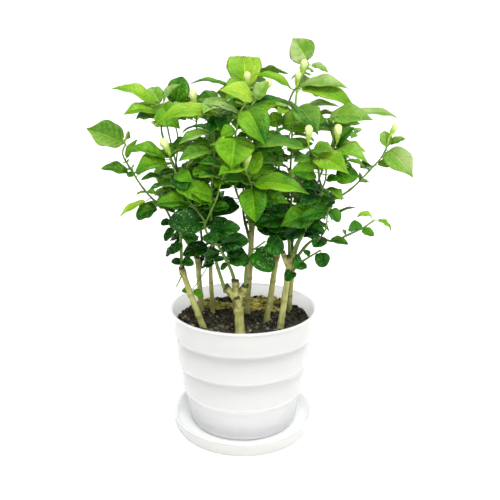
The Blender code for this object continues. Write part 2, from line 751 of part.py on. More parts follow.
def blade_frame(base, tip, up):
    """Directions of a blade: along it, across it and out of its upper side, which faces up as far as it can."""
    run = (tip - base).normalized()
    out = up - run * up.dot(run)
    if out.length < 0.05:
        out = Vector((0, 0, 1)) - run * run.z
    out.normalize()
    return run, run.cross(out), out


def leaf_sections(leaf, grow=0.0):
    """Sections of a leaf from its root in the stem to its last station: middle, half width, edge lift, thickness.

    Only the blade's sections have a lift. A grown leaf, which tests for room, starts a little out from its root.
    """
    root, tip, width, up, petiole, arch = leaf
    base = root + (tip - root).normalized() * petiole
    run, across, out = blade_frame(base, tip, up)
    length = (tip - base).length
    half = PETIOLE_HALF_WIDTH + grow / 2
    sections = [(base, half, 0, half)]
    for place, share in LONG_BLADE if length > LONG_LEAF else SHORT_BLADE:
        middle = base.lerp(tip, place) + out * (arch * length * 4 * place * (1 - place))
        half = width / 2 * share
        sections.append((middle, half + grow, half * math.sin(FOLD), BLADE_HALF_THICKNESS + grow))
    if petiole and not grow:
        sections.insert(0, (root, PETIOLE_HALF_WIDTH * 0.6, 0, PETIOLE_HALF_WIDTH * 0.6))
    elif grow and not petiole:
        share = ROOT_FREE / (sections[1][0] - root).length
        sections[0] = tuple(a + (b - a) * share for a, b in zip(sections[0], sections[1]))
    return sections, tip + run * grow, across, out


def leaf_shape(leaf, grow=0.0):
    """Places and faces of a folded, arched blade on a three-sided petiole, split alike on its two faces."""
    sections, end, across, out = leaf_sections(leaf, grow)
    places = []
    rows = []
    for middle, half, lift, thick in sections:
        side = across * math.sqrt(half * half - lift * lift)
        corners = {"left": middle - side + out * lift, "right": middle + side + out * lift, "keel": middle - out * thick}
        if lift:
            corners["rib"] = middle + out * thick
        rows.append({corner: len(places) + i for i, corner in enumerate(corners)})
        places += corners.values()
    faces = [] if grow else [tuple(rows[0].values())]
    for low, high in zip(rows, rows[1:]):
        for edge in ("left", "right"):
            faces.append((low[edge], high[edge], high["keel"]))
            faces.append((low[edge], high["keel"], low["keel"]))
            if "rib" in high:
                faces.append((low[edge], high[edge], high["rib"]))
            if "rib" in low:
                faces.append((low[edge], high["rib"], low["rib"]))
        if "rib" not in high:
            faces.append((low["left"], high["left"], high["right"]))
            faces.append((low["left"], high["right"], low["right"]))
        elif "rib" not in low:
            faces.append((low["left"], high["rib"], low["right"]))
    for edge in ("left", "right"):
        for middle in ("rib", "keel"):
            faces.append((rows[-1][edge], rows[-1][middle], len(places)))
    places.append(end)
    return places, faces


def leaf_object(name, leaf, collection):
    mesh = bpy.data.meshes.new(name)
    places, faces = leaf_shape(leaf)
    mesh.from_pydata(places, [], faces)
    shape = bmesh.new()
    shape.from_mesh(mesh)
    bmesh.ops.recalc_face_normals(shape, faces=shape.faces)
    shape.to_mesh(mesh)
    shape.free()
    return add_object(name, mesh, collection)


def tube_shape(points, radii):
    """Places and faces of a plain six-sided tube, which only tests for room."""
    places = []
    faces = []
    last = len(points) - 1
    for i, (point, radius) in enumerate(zip(points, radii)):
        ahead = points[min(i + 1, last)] - points[max(i - 1, 0)]
        across = ahead.cross(Vector((0, 1, 0))).normalized()
        beside = ahead.cross(across).normalized()
        for k in range(6):
            turn = math.tau * k / 6
            places.append(point + (across * math.cos(turn) + beside * math.sin(turn)) * radius)
            if i:
                faces.append((6 * i - 6 + k, 6 * i - 6 + (k + 1) % 6, 6 * i + (k + 1) % 6, 6 * i + k))
    return places, faces


def in_open_gap(leaf):
    """Whether a leaf would stand in one of the gaps that stay open when the plant is seen from the front."""
    sections, end, across, _ = leaf_sections(leaf)
    spots = [end]
    for middle, half, lift, _ in sections:
        if lift:
            spots += [middle, middle - across * half, middle + across * half]
    for spot in spots:
        sight = spot - EYE
        seen = EYE + sight * (-EYE.y / sight.y)
        for x, z, radius in OPEN_GAPS:
            if (seen.x - x * MM) ** 2 + (seen.z - z * MM) ** 2 < (radius * MM) ** 2:
                return True
    return False


class Clearance:
    """Everything that is already placed, so that what comes next is bent clear of it."""

    def __init__(self):
        self.solids = []
        self.stems = []

    def add(self, shape):
        self.solids.append(BVHTree.FromPolygons(*shape))

    def add_stem(self, shoot, shape):
        self.stems.append((shoot, BVHTree.FromPolygons(*shape)))

    def free(self, shoot, leaf):
        root, tip, width, up, _, arch = leaf
        whole = BVHTree.FromPolygons(*leaf_shape(leaf, LEAF_CLEARANCE))
        if any(whole.overlap(solid) for solid in self.solids):
            return False
        blade = BVHTree.FromPolygons(*leaf_shape((root.lerp(tip, 0.12), tip, width, up, 0, arch), LEAF_CLEARANCE))
        return not any((blade if owner == shoot else whole).overlap(stem) for owner, stem in self.stems)


# Where a leaf's tip may move, in shares of its length, until it is clear: first to the front or the back
BENDS = [Vector(v) for v in (
    (0, 0, 0), (0, -0.15, 0), (0, 0.15, 0), (0, -0.3, 0), (0, 0.3, 0), (0, -0.15, -0.1), (0, 0.15, -0.1),
    (0, -0.15, 0.1), (0, 0.15, 0.1), (0, -0.45, 0), (0, 0.45, 0), (0.1, -0.3, -0.1), (-0.1, -0.3, -0.1),
    (0.1, 0.3, 0.1), (-0.1, 0.3, 0.1), (0, -0.6, 0), (0, 0.6, 0),
)]


def bent_clear(clearance, shoot, leaf):
    """The leaf with its tip moved until it clears its neighbours, then with a smaller blade, or None."""
    root, tip, width, up, petiole, arch = leaf
    length = (tip - root).length
    for size in (1.0, 0.86, 0.72):
        for bend in BENDS:
            moved = root + (tip + bend * length - root).normalized() * length * (0.5 + 0.5 * size)
            trial = (root, moved, width * size, up, petiole, arch)
            if clearance.free(shoot, trial):
                return trial
    return None


def nearest_on(route, point):
    """The place on a route that is nearest to a point."""
    spots = []
    for a, b in zip(route, route[1:]):
        share = (point - a).dot(b - a) / (b - a).length_squared
        spots.append(a.lerp(b, min(max(share, 0), 1)))
    return min(spots, key=lambda spot: (spot - point).length)


def stem_routes(shoot):
    """The stems' smooth routes. A side stem starts on the nearest earlier one."""
    routes = []
    for stem in shoot["stems"]:
        points = [at(p) for p in stem]
        if routes:
            start = points[0]
            points[0] = min((nearest_on(route, start) for route in routes), key=lambda spot: (spot - start).length)
        routes.append(smooth_route(points, STEM_SPACING))
    return routes


def stem_radii(route, index):
    top = len(route) - 1
    base = STEM_BASE_RADIUS if index == 0 else TWIG_RADIUS
    return [base + (min(base, STEM_TIP_RADIUS) - base) * i / top for i in range(top + 1)]


def bud_places(shoot, routes):
    """For each bud: where its stalk starts, its foot, its direction and its length."""
    places = []
    for stem, place, foot, top in shoot["buds"]:
        start, _ = along(routes[stem], place)
        foot, top = at(foot), at(top)
        places.append((start, foot, (top - foot).normalized(), (top - foot).length))
    return places


def shoot_tubes(shoot, routes):
    """Every round piece of one shoot as its points, radii and sides: stems, then each bud's stalk and calyx."""
    tubes = []
    for i, route in enumerate(routes):
        tubes.append((route, stem_radii(route, i), STEM_SIDES))
    for start, foot, axis, _ in bud_places(shoot, routes):
        stalk = [start, foot - axis * (CALYX_LENGTH * 0.7), foot + axis * 0.4 * MM]
        if (stalk[1] - stalk[0]).length < 1 * MM:
            stalk = stalk[::2]
        tubes.append((stalk, [TWIG_RADIUS] * len(stalk), STEM_SIDES))
        calyx = [foot - axis * CALYX_LENGTH * 0.7, foot + axis * CALYX_LENGTH * 0.3]
        tubes.append((calyx, CALYX_RADII, BUD_STEPS))
    return tubes


def build_bud(name, foot, axis, length, collection):
    """A closed bud: a slim tube that swells into the furled petals, turned and then tipped along its axis."""
    seat = CALYX_LENGTH * 0.3 + SEAT_GAP
    span = length - seat
    radius = BUD_RADIUS * min(1, span / BUD_LENGTH * 1.15)
    profile = [
        (0, span), (radius * 0.55, span * 0.93), (radius * 0.95, span * 0.72), (radius, span * 0.5),
        (radius * 0.74, span * 0.22), (radius * 0.5, 0), (0, 0),
    ]
    bud = turned(name, profile, BUD_STEPS, collection)
    bud.location = foot + axis * seat
    bud.rotation_euler = axis.to_track_quat("Z", "Y").to_euler()
    finish(bud, BUD_COLOUR, 0.45)


def stated_leaves(shoot, routes):
    leaves = []
    for stem, place, tip, width, face, *rest in shoot["leaves"]:
        petiole = rest[0] if rest else PETIOLE
        petiole = petiole if petiole > SHORTEST_PETIOLE else 0
        arch = rest[1] if len(rest) > 1 else ARCH
        lean = math.radians(face)
        up = Vector((0, -math.sin(lean), math.cos(lean)))
        leaves.append((along(routes[stem], place)[0], at(tip), width * MM, up, petiole * MM, arch))
    return leaves


def drawn_leaf(root, heading, shrink, rng):
    """A leaf from this root: short and round low on the plant, long near its top, its upper side outward."""
    share = min(max((root.z - 0.19) / 0.13, 0), 1)
    low = FILL_LOW[0] + (FILL_HIGH[0] - FILL_LOW[0]) * share
    high = FILL_LOW[1] + (FILL_HIGH[1] - FILL_LOW[1]) * share
    length = rng.uniform(low, high) * shrink * MM
    rise = rng.uniform(*FILL_RISE)
    lean = rng.uniform(*FILL_LEAN)
    flat = math.cos(rise)
    tip = root + Vector((math.cos(heading) * flat, math.sin(heading) * flat, math.sin(rise))) * length
    outward = root - OUTWARD_FROM
    outward.z = 0
    up = outward.normalized() * math.sin(lean) + Vector((0, 0, math.cos(lean)))
    return root, tip, length * (0.76 - 0.12 * share), up, 0, ARCH


def grown_leaves(clearance, name, shoot, route, rng):
    """Leaf pairs in the crosswise order of the real plant, wherever there is room for them."""
    leaves = []
    low, high = PLANT_BOX
    turn = rng.uniform(0, math.pi)
    for pair in range(shoot["fill"]):
        root, _ = along(route, FILL_FROM + (1 - FILL_FROM) * (pair + 1) / shoot["fill"])
        turn += math.pi / 2
        for side in (0, math.pi):
            for attempt in range(FILL_TRIES):
                heading = turn + side + rng.uniform(-0.5, 0.5) * (1 + attempt * 0.2)
                leaf = drawn_leaf(root, heading, 1 - 0.03 * attempt, rng)
                inside = all(low[k] <= leaf[1][k] <= high[k] for k in range(3))
                if inside and not in_open_gap(leaf) and clearance.free(name, leaf):
                    leaves.append(leaf)
                    clearance.add(leaf_shape(leaf))
                    break
    return leaves


def placed_leaves(routes):
    """All leaves of every shoot, each one clear of canes, buds, other shoots' stems and other leaves."""
    clearance = Clearance()
    for name in CANES:
        for points, radii in cane_tubes(name, 0):
            clearance.add(tube_shape(points, radii))
    for name, shoot in SHOOTS.items():
        for points, radii, _ in shoot_tubes(shoot, routes[name]):
            clearance.add_stem(name, tube_shape(points, radii))
        for _, foot, axis, length in bud_places(shoot, routes[name]):
            points = [foot, foot + axis * length / 2, foot + axis * length]
            clearance.add(tube_shape(points, [BUD_RADIUS * 0.6, BUD_RADIUS * 1.1, BUD_RADIUS * 0.4]))
    leaves = {}
    for name, shoot in SHOOTS.items():
        leaves[name] = []
        for leaf in stated_leaves(shoot, routes[name]):
            placed = bent_clear(clearance, name, leaf)
            if placed:
                leaves[name].append(placed)
                clearance.add(leaf_shape(placed))
    for index, (name, shoot) in enumerate(SHOOTS.items()):
        rng = random.Random(FILL_SEED + index)
        leaves[name] += grown_leaves(clearance, name, shoot, routes[name][0], rng)
    return leaves


def build_canes(collection, cutters, soil):
    """The canes, each in its own plain hole in the soil. Returns the seats that their shoots are cut by."""
    seats = {}
    for name in CANES:
        pieces = cane_objects(name, 0, collection)
        finish(union_of(pieces), CANE_COLOUR, 0.7)
        seats[name] = union_of(cane_objects(name, SEAT_GAP * 1.1, collection))
        seats[name].name = name + "_seat"
        move_to(seats[name], cutters)
        boolean(soil, seats[name], "DIFFERENCE")
    return seats


def build_shoots(collection, seats):
    """One body for each leafy shoot, seated round its cane, and one for each bud in its calyx."""
    routes = {name: stem_routes(shoot) for name, shoot in SHOOTS.items()}
    leaves = placed_leaves(routes)
    buds = 0
    for name, shoot in SHOOTS.items():
        pieces = []
        for i, (points, radii, sides) in enumerate(shoot_tubes(shoot, routes[name])):
            pieces.append(tube(f"{name}_tube_{i}", points, radii, collection, sides))
        for i, leaf in enumerate(leaves[name]):
            pieces.append(leaf_object(f"{name}_leaf_{i}", leaf, collection))
        body = union_of(pieces)
        body.name = name
        boolean(body, seats[shoot["cane"]], "DIFFERENCE")
        keep_largest(body)
        finish(body, LEAF_COLOUR, 0.45)
        for _, foot, axis, length in bud_places(shoot, routes[name]):
            buds += 1
            build_bud(f"bud_{buds}", foot, axis, length, collection)


def main():
    clear_scene()
    parts = new_collection("potted_arabian_jasmine")
    cutters = new_collection("cutters")
    cutters.hide_render = True
    build_saucer(parts)
    build_pot(parts, cutters)
    soil = build_soil(parts)
    seats = build_canes(parts, cutters, soil)
    finish(soil, SOIL_COLOUR, 1.0)
    build_shoots(parts, seats)


main()
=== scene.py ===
import math
import random

import bpy
import numpy as np
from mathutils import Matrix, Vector, noise
from mathutils.bvhtree import BVHTree


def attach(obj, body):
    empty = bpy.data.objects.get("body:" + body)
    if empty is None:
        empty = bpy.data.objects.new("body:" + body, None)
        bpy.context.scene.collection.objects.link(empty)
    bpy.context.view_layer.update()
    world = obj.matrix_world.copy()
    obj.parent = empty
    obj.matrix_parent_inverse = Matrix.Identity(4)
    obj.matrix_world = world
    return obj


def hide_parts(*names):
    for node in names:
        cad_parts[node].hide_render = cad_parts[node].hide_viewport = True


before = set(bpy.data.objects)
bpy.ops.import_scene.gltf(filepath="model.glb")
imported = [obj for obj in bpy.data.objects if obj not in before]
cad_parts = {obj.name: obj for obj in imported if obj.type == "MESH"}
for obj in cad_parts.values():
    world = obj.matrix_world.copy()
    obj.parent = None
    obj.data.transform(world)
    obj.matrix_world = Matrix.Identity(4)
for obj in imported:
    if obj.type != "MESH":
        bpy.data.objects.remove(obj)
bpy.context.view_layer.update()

# A potted arabian jasmine. Metres, +Z up, +Y to the back. Places on the plant are in millimetres, see at().
mm = 0.001
print("frame loaded:", len(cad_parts), "nodes")

# Canes: radius, then the route from the soil up to the pruned top, then any pruned stubs
canes = {
    "cane_1": (3.3, [(-40, -24, 118), (-47, -26, 140), (-54, -28, 162), (-60, -30, 184)], []),
    "cane_2": (3.0, [(-45, 25, 118), (-46, 23, 140), (-47, 21, 160), (-48, 20, 180)], []),
    "cane_3": (2.4, [(-32, 15, 118), (-33, 14, 140), (-34, 13, 162), (-33, 12, 182)], []),
    "cane_4": (
        5.0,
        [(-3, -40, 118), (-4, -39, 132), (-5, -38, 146), (-6, -38, 157)],
        [
            [(-6, -38, 152), (-12, -38, 160), (-17, -38, 167)],
            [(-6, -38, 152), (-7, -38, 164), (-8, -38, 174)],
            [(-6, -38, 152), (-1, -39, 161), (2, -40, 169)],
        ],
    ),
    "cane_5": (3.2, [(4, 15, 118), (5, 15, 142), (7, 15, 168), (8, 15, 194), (9, 15, 217)], []),
    "cane_6": (3.1, [(24, -3, 118), (28, -2, 142), (31, -1, 166), (35, 0, 192)], []),
    "cane_7": (
        3.3,
        [(37, -27, 118), (40, -27, 144), (43, -26, 170), (45, -25, 194)],
        [[(43, -26, 184), (40, -26, 192), (38, -26, 199)]],
    ),
    "cane_8": (3.0, [(49, 25, 118), (50, 24, 140), (52, 23, 162), (53, 22, 185)], []),
}

def hiddenShoot(fill, stem, *bud):
    # a guessed shoot behind the ones in view: all its leaves come from the rule
    buds = [(0, 1.0, *bud)] if bud else []
    return {"stems": [stem], "leaves": [], "tones": (), "casts": "", "buds": buds, "fill": fill}


# Shoots. "stems": routes, the first one from inside its cane. "leaves": stem, place along it from 0 to 1, tip,
# width, lean of the upper side to the front in degrees, then, where they differ from plainLeaf, petiole and arch.
# "tones": each leaf's green from 0, darkest, to 1, partly its own colour and partly painted shade. "casts": w warmer, c
# greyer and cooler, - by chance.
# "buds": stem, place, foot, top. "fill": leaf pairs to try.
shoots = {
    "shoot_left": {
        "stems": [
            [(-48, 20, 172), (-51, 20, 182), (-56, 20, 192), (-64, 19, 204), (-71, 18, 213), (-79, 14, 232),
             (-91, 10, 243), (-101, 8, 256), (-110, 6, 272), (-117, 4, 286), (-117, 3, 293), (-114, 3, 298)],
        ],
        "leaves": [
            (0, 1.0, (-151, 0, 314), 33, 46, 2, 0.03),
            (0, 0.9, (-103, 6, 303), 9, 35, 3),
            (0, 0.8, (-139, 0, 275), 18, 28),
            (0, 0.59, (-125, 2, 226), 14, 18, 7, 0.02),
            (0, 0.51, (-107, 6, 223), 22, 34, 5),
            (0, 0.36, (-84, 12, 216), 9, 50, 2),
            (0, 0.32, (-80, 10, 199), 10, 50, 3),
        ],
        "tones": (0.4, 0.4, 0.3, 0.62, 0.2, 0.1, 0.12),
        "casts": "cc-ww-c",
        "buds": [],
        "fill": 3,
    },
    "shoot_front": {
        "stems": [
            [(-8, -38, 168), (-10, -39, 179), (-15, -41, 192), (-24, -45, 210), (-34, -50, 224), (-36, -52, 236),
             (-43, -52, 245), (-50, -50, 255), (-55, -48, 264), (-61, -46, 278), (-65, -45, 288), (-67, -45, 294)],
            [(-35, -51, 232), (-28, -56, 248), (-23, -59, 260), (-20, -59, 272), (-13, -60, 290), (-8, -62, 308),
             (-5, -62, 323), (-2, -60, 335), (2, -58, 339)],
            [(-5, -62, 323), (2, -58, 332), (9, -55, 341), (14, -53, 346)],
        ],
        "leaves": [
            (0, 0.97, (-106, -52, 298), 21, 25, 5, 0.16),
            (0, 0.93, (-95, -64, 283), 23, 35, 5, 0.2),
            (0, 0.88, (-92, -54, 273), 10, 30, 15),
            (0, 0.78, (-84, -62, 266), 13, 8),
            (0, 0.68, (-78, -58, 252), 18, 45),
            (0, 0.52, (-67, -64, 236), 27, 65),
            (0, 0.44, (-3, -62, 231), 19, 55),
            (0, 0.33, (5, -56, 217), 21, 60),
            (0, 0.22, (5, -48, 196), 18, 50),
            (0, 0.21, (-28, -44, 195), 6, 50, 2),
            (0, 0.18, (-21, -46, 186), 6, 60, 2),
            (1, 0.78, (-10, -84, 288), 36, 75, 3),
            (1, 1.0, (19, -90, 308), 29, 75),
            (2, 0.9, (-19, -70, 353), 22, 50),
            (1, 1.0, (50, -42, 332), 18, 16, 6, 0.16),
            (1, 0.93, (-33, -52, 340), 12, 18),
            (2, 0.8, (20, -44, 357), 14, 50, 3),
            (1, 0.25, (-46, -74, 267), 22, 50),
            (1, 0.42, (-38, -80, 281), 14, 30),
            (1, 0.5, (-37, -74, 292), 16, 30),
            (1, 0.42, (1, -50, 272), 13, 45),
            (0, 0.46, (-24, -66, 219), 17, 65),
        ],
        "tones": (0.34, 0.34, 0.3, 0.3, 0.28, 0.03, 0.06, 0.04, 0.03, 0.08, 0.1,
                  0.45, 0.36, 0.62, 0.15, 0.65, 0.6, 0.4, 0.35, 0.3, 0.25, 0.05),
        "casts": "wwccwc----c-w-wccwcc--",
        "buds": [(0, 1.0, (-67, -46, 297), (-73, -48, 310)), (2, 1.0, (17, -52, 351), (24, -52, 361))],
        "fill": 4,
    },
    "shoot_front_branch": {
        "stems": [
            [(-17, -38, 161), (-21, -38, 174), (-27, -36, 196), (-30, -36, 226), (-30, -38, 256), (-27, -44, 282),
             (-26, -44, 299), (-26, -42, 315), (-21, -38, 331)],
        ],
        "leaves": [
            (0, 0.81, (-57, -64, 292), 20, 40),
            (0, 0.9, (-57, -58, 306), 15, 28),
            (0, 0.91, (-58, -34, 312), 13, 5, 5, 0.16),
            (0, 0.84, (-66, -38, 302), 13, 22),
            (0, 1.0, (-30, -52, 316), 12, 60),
            (0, 1.0, (-19, -58, 316), 12, 60),
            (0, 1.0, (-5, -48, 331), 12, 40),
            (0, 1.0, (-79, -48, 321), 19, 40, 5, 0.2),
        ],
        "tones": (0.35, 0.5, 0.25, 0.3, 0.12, 0.1, 0.2, 0.57),
        "casts": "cc----cw",
        "buds": [],
        "fill": 4,
    },
    "shoot_front_right": {
        "stems": [
            [(2, -40, 163), (2, -41, 176), (3, -43, 190), (6, -46, 203), (13, -48, 209), (20, -50, 215)],
        ],
        "leaves": [
            (0, 1.0, (36, -60, 208), 20, 60, 2),
            (0, 0.74, (27, -64, 191), 24, 70, 2),
        ],
        "tones": (0.08, 0.02),
        "casts": "w-",
        "buds": [],
        "fill": 1,
    },
    "shoot_centre": {
        "stems": [
            [(9, 15, 208), (10, 4, 224), (10, -12, 240), (9, -32, 254), (8, -50, 266), (5, -59, 276), (2, -64, 284)],
        ],
        "leaves": [
            (0, 0.83, (11, -76, 240), 28, 80),
            (0, 0.86, (57, -80, 267), 21, 45),
            (0, 0.9, (15, -48, 298), 15, 60),
        ],
        "tones": (0.28, 0.4, 0.35),
        "casts": "www",
        "buds": [(0, 1.0, (2, -66, 287), (4, -67, 301))],
        "fill": 4,
    },
    "shoot_centre_left": {
        "stems": [
            [(9, 15, 212), (4, 10, 226), (0, 4, 236), (-4, -4, 246), (-7, -12, 256), (-9, -18, 268), (-8, -20, 282)],
        ],
        "leaves": [
            (0, 0.46, (-32, -26, 234), 20, 55),
            (0, 1.0, (8, -30, 302), 20, 40),
            (0, 1.0, (-24, -36, 300), 18, 40),
        ],
        "tones": (0.02, 0.4, 0.3),
        "casts": "cc-",
        "buds": [],
        "fill": 4,
    },
    "shoot_top_left": {
        "stems": [
            [(-60, -30, 176), (-60, -29, 188), (-60, -28, 202), (-60, -26, 216), (-58, -20, 236), (-60, -17, 254),
             (-65, -14, 276), (-73, -12, 298), (-77, -12, 312), (-77, -10, 324), (-77, -10, 336)],
            [(-65, -14, 276), (-63, -8, 294), (-63, -4, 309), (-67, -2, 323)],
        ],
        "leaves": [
            (0, 1.0, (-124, -10, 352), 18, 34, 6, 0.14),
            (0, 1.0, (-88, 6, 352), 16, 40),
            (0, 1.0, (-58, -24, 356), 12, 40),
            (1, 1.0, (-58, 8, 362), 24, 75, 14),
            (0, 0.96, (-110, -24, 329), 18, 32, 5, 0.16),
            (0, 0.93, (-103, 2, 323), 17, 35),
            (0, 0.08, (-69, -36, 191), 8, 60, 2),
            (0, 0.09, (-47, -38, 189), 10, 60, 2),
            (0, 0.2, (-65, -36, 200), 7, 60, 2),
            (0, 0.24, (-43, -34, 213), 11, 60, 2),
        ],
        "tones": (0.5, 0.55, 0.55, 0.25, 0.42, 0.3, 0.08, 0.08, 0.1, 0.1),
        "casts": "wccwwc----",
        "buds": [],
        "fill": 5,
    },
    "shoot_bud_left": {
        "stems": [
            [(-33, 12, 174), (-33, 12, 186), (-32, 12, 202), (-34, 12, 222), (-37, 10, 242), (-41, 6, 263),
             (-43, 0, 283), (-44, -8, 304), (-44, -12, 318), (-44, -14, 328), (-45, -16, 334)],
        ],
        "leaves": [
            (0, 0.8, (-66, -24, 300), 14, 40),
            (0, 0.97, (-12, -8, 340), 18, 32),
            (0, 0.12, (-61, 0, 187), 18, 50),
        ],
        "tones": (0.3, 0.5, 0.05),
        "casts": "-cc",
        "buds": [(0, 1.0, (-45, -17, 338), (-47, -17, 351))],
        "fill": 6,
    },
    "shoot_bud_top": {
        "stems": [
            [(9, 15, 209), (10, 20, 224), (9, 22, 244), (7, 20, 268), (6, 15, 292), (5, 6, 320), (4, -3, 340),
             (3, -8, 350)],
        ],
        "leaves": [
            (0, 1.0, (0, 24, 382), 38, 60),
            (0, 1.0, (-50, -6, 357), 14, 14, 16, 0.1),
        ],
        "tones": (0.56, 0.3),
        "casts": "ww",
        "buds": [(0, 1.0, (3, -13, 355), (4, -14, 367))],
        "fill": 5,
    },
    "shoot_top_right": {
        "stems": [
            [(35, 0, 184), (36, 2, 198), (38, 5, 218), (38, 6, 240), (36, 8, 264), (34, 8, 290), (33, 8, 314),
             (36, 8, 326), (43, 6, 337), (47, 4, 347), (51, 3, 352)],
            [(34, 8, 290), (42, 4, 302), (48, 2, 317), (50, 2, 336), (51, 3, 350)],
            [(51, 3, 352), (54, 4, 358), (58, 5, 366), (62, 6, 373)],
        ],
        "leaves": [
            (2, 1.0, (47, -4, 395), 27, 70, 2),
            (2, 0.98, (80, 2, 366), 9, 45, 3),
            (0, 0.98, (10, -18, 364), 16, 35),
            (2, 0.1, (99, -6, 352), 18, 36),
            (0, 1.0, (106, -24, 327), 20, 36, 5, 0.17),
            (1, 0.78, (67, -46, 312), 27, 50),
            (1, 0.44, (31, -6, 311), 6, 20),
        ],
        "tones": (0.6, 0.5, 0.45, 0.62, 0.5, 0.35, 0.25),
        "casts": "ccwcwcw",
        "buds": [(2, 0.3, (55, -3, 366), (57, -5, 378)), (2, 0.05, (50, -9, 356), (51, -11, 367))],
        "fill": 6,
    },
    "shoot_right": {
        "stems": [
            [(45, -25, 186), (48, -27, 198), (56, -30, 216), (63, -32, 230), (70, -34, 246), (73, -36, 261),
             (70, -38, 272), (68, -40, 287), (63, -44, 294), (59, -48, 301)],
            [(73, -36, 261), (76, -36, 270), (77, -34, 284), (80, -32, 292), (84, -30, 300)],
            [(80, -32, 292), (86, -22, 303), (94, -10, 316), (100, -5, 327)],
            [(84, -30, 300), (82, -24, 311), (77, -18, 324)],
        ],
        "leaves": [
            (0, 1.0, (6, -60, 302), 19, 30, 5, 0.12),
            (0, 0.97, (78, -64, 301), 16, 45, 2),
            (0, 0.92, (91, -80, 283), 25, 55),
            (0, 0.78, (42, -56, 281), 21, 60),
            (0, 0.88, (43, -48, 290), 12, 30),
            (1, 0.25, (88, -48, 273), 9, 60, 2),
            (1, 0.35, (105, -44, 275), 19, 60, 9),
            (3, 1.0, (118, -38, 325), 23, 45, 2, 0.14),
            (2, 0.98, (153, -2, 324), 15, 30, 3, 0.1),
            (1, 0.97, (99, -42, 319), 13, 50, 3),
            (3, 0.5, (71, -34, 320), 12, 40, 2),
            (1, 0.9, (112, -54, 288), 18, 40, 3, 0.2),
            (0, 0.36, (39, -38, 216), 18, 55),
            (0, 0.34, (76, -40, 220), 14, 45, 3),
            (0, 0.66, (54, -58, 268), 18, 50),
            (0, 0.62, (52, -56, 252), 18, 50),
        ],
        "tones": (0.4, 0.4, 0.55, 0.35, 0.35, 0.3, 0.25, 0.5, 0.6, 0.2, 0.15, 0.5, 0.03, 0.1, 0.04, 0.04),
        "casts": "cc-wcwwcccc-cc--",
        "buds": [(0, 1.0, (58, -50, 309), (58, -51, 322)), (1, 1.0, (85, -40, 308), (85, -43, 322))],
        "fill": 4,
    },
    "shoot_far_right": {
        "stems": [
            [(53, 22, 176), (56, 20, 190), (62, 16, 206), (69, 10, 221), (76, 4, 235), (84, 0, 242), (91, -4, 246),
             (103, -8, 255), (113, -12, 266), (121, -14, 276), (130, -16, 287), (134, -18, 296)],
        ],
        "leaves": [
            (0, 0.88, (153, -6, 277), 13, 35, 3),
            (0, 1.0, (154, -50, 275), 26, 65, 3),
            (0, 1.0, (135, -4, 312), 13, 50, 2),
            (0, 1.0, (157, -18, 307), 9, 15, 3),
            (0, 0.84, (97, -22, 286), 11, 25, 6),
        ],
        "tones": (0.35, 0.56, 0.5, 0.45, 0.4),
        "casts": "wcccw",
        "buds": [(0, 1.0, (138, -20, 311), (142, -20, 320))],
        "fill": 3,
    },
    "shoot_low_right": {
        "stems": [
            [(45, -25, 180), (53, -22, 192), (64, -22, 206), (74, -28, 213), (80, -39, 213), (86, -44, 214),
             (95, -46, 219), (104, -48, 224), (112, -50, 229), (120, -50, 235)],
            [(74, -28, 213), (78, -37, 224), (78, -42, 236), (80, -44, 246)],
        ],
        "leaves": [
            (1, 1.0, (88, -52, 234), 12, 60, 2),
            (1, 0.9, (51, -54, 238), 17, 50, 3),
            (0, 0.44, (65, -54, 211), 16, 65, 2),
            (0, 0.8, (101, -56, 237), 14, 80, 2),
            (0, 0.7, (91, -54, 227), 6, 50, 2),
            (0, 0.56, (99, -56, 215), 10, 40, 2),
            (0, 0.86, (119, -58, 224), 9, 50, 2),
            (0, 1.0, (104, -50, 238), 10, 16, 2, 0.3),
            (0, 1.0, (137, -50, 224), 10, 18, 2, 0.2),
            (1, 0.6, (104, -44, 246), 11, 2, 4),
        ],
        "tones": (0.2, 0.15, 0.08, 0.3, 0.25, 0.2, 0.3, 0.5, 0.45, 0.2),
        "casts": "cw--wc-wwc",
        "buds": [],
        "fill": 0,
    },
    "shoot_low_mid": {
        "stems": [
            [(43, -26, 172), (48, -30, 180), (56, -34, 190), (63, -37, 196), (68, -39, 200), (73, -41, 204)],
        ],
        "leaves": [
            (0, 0.55, (48, -50, 190), 18, 65, 2),
            (0, 0.74, (57, -40, 203), 7, 50, 2),
            (0, 0.22, (41, -44, 174), 13, 50, 2),
            (0, 1.0, (75, -48, 189), 15, 80, 2),
        ],
        "tones": (0.08, 0.08, 0.08, 0.08),
        "casts": "----",
        "buds": [],
        "fill": 0,
    },
    "shoot_mid_right": {
        "stems": [
            [(45, -25, 187), (45, -22, 200), (44, -20, 214), (44, -20, 228), (46, -18, 244), (48, -12, 262),
             (54, -8, 282)],
        ],
        "leaves": [
            (0, 0.44, (14, -34, 229), 20, 55, 5),
            (0, 0.52, (26, -38, 240), 20, 55, 3),
        ],
        "tones": (0.05, 0.05),
        "casts": "--",
        "buds": [],
        "fill": 4,
    },
    "shoot_back_left": hiddenShoot(
        6, [(-48, 20, 174), (-52, 30, 190), (-60, 48, 226), (-70, 64, 262), (-80, 76, 300), (-84, 82, 326)]),
    "shoot_back_mid_left": hiddenShoot(
        6, [(-33, 12, 177), (-32, 24, 192), (-32, 44, 230), (-30, 62, 272), (-32, 74, 306), (-34, 78, 328)],
        (-35, 82, 332), (-38, 86, 344)),
    "shoot_back_mid": hiddenShoot(
        6, [(9, 15, 205), (10, 30, 222), (10, 50, 256), (8, 66, 292), (10, 76, 328), (12, 82, 358)],
        (12, 86, 362), (12, 90, 375)),
    "shoot_back_mid_right": hiddenShoot(
        6, [(33, -1, 176), (37, 12, 192), (46, 34, 236), (50, 52, 272), (52, 64, 310), (56, 72, 342)],
        (57, 76, 346), (60, 80, 358)),
    "shoot_back_right": hiddenShoot(
        6, [(53, 22, 178), (60, 34, 196), (72, 50, 230), (84, 62, 262), (94, 70, 288), (100, 74, 308)],
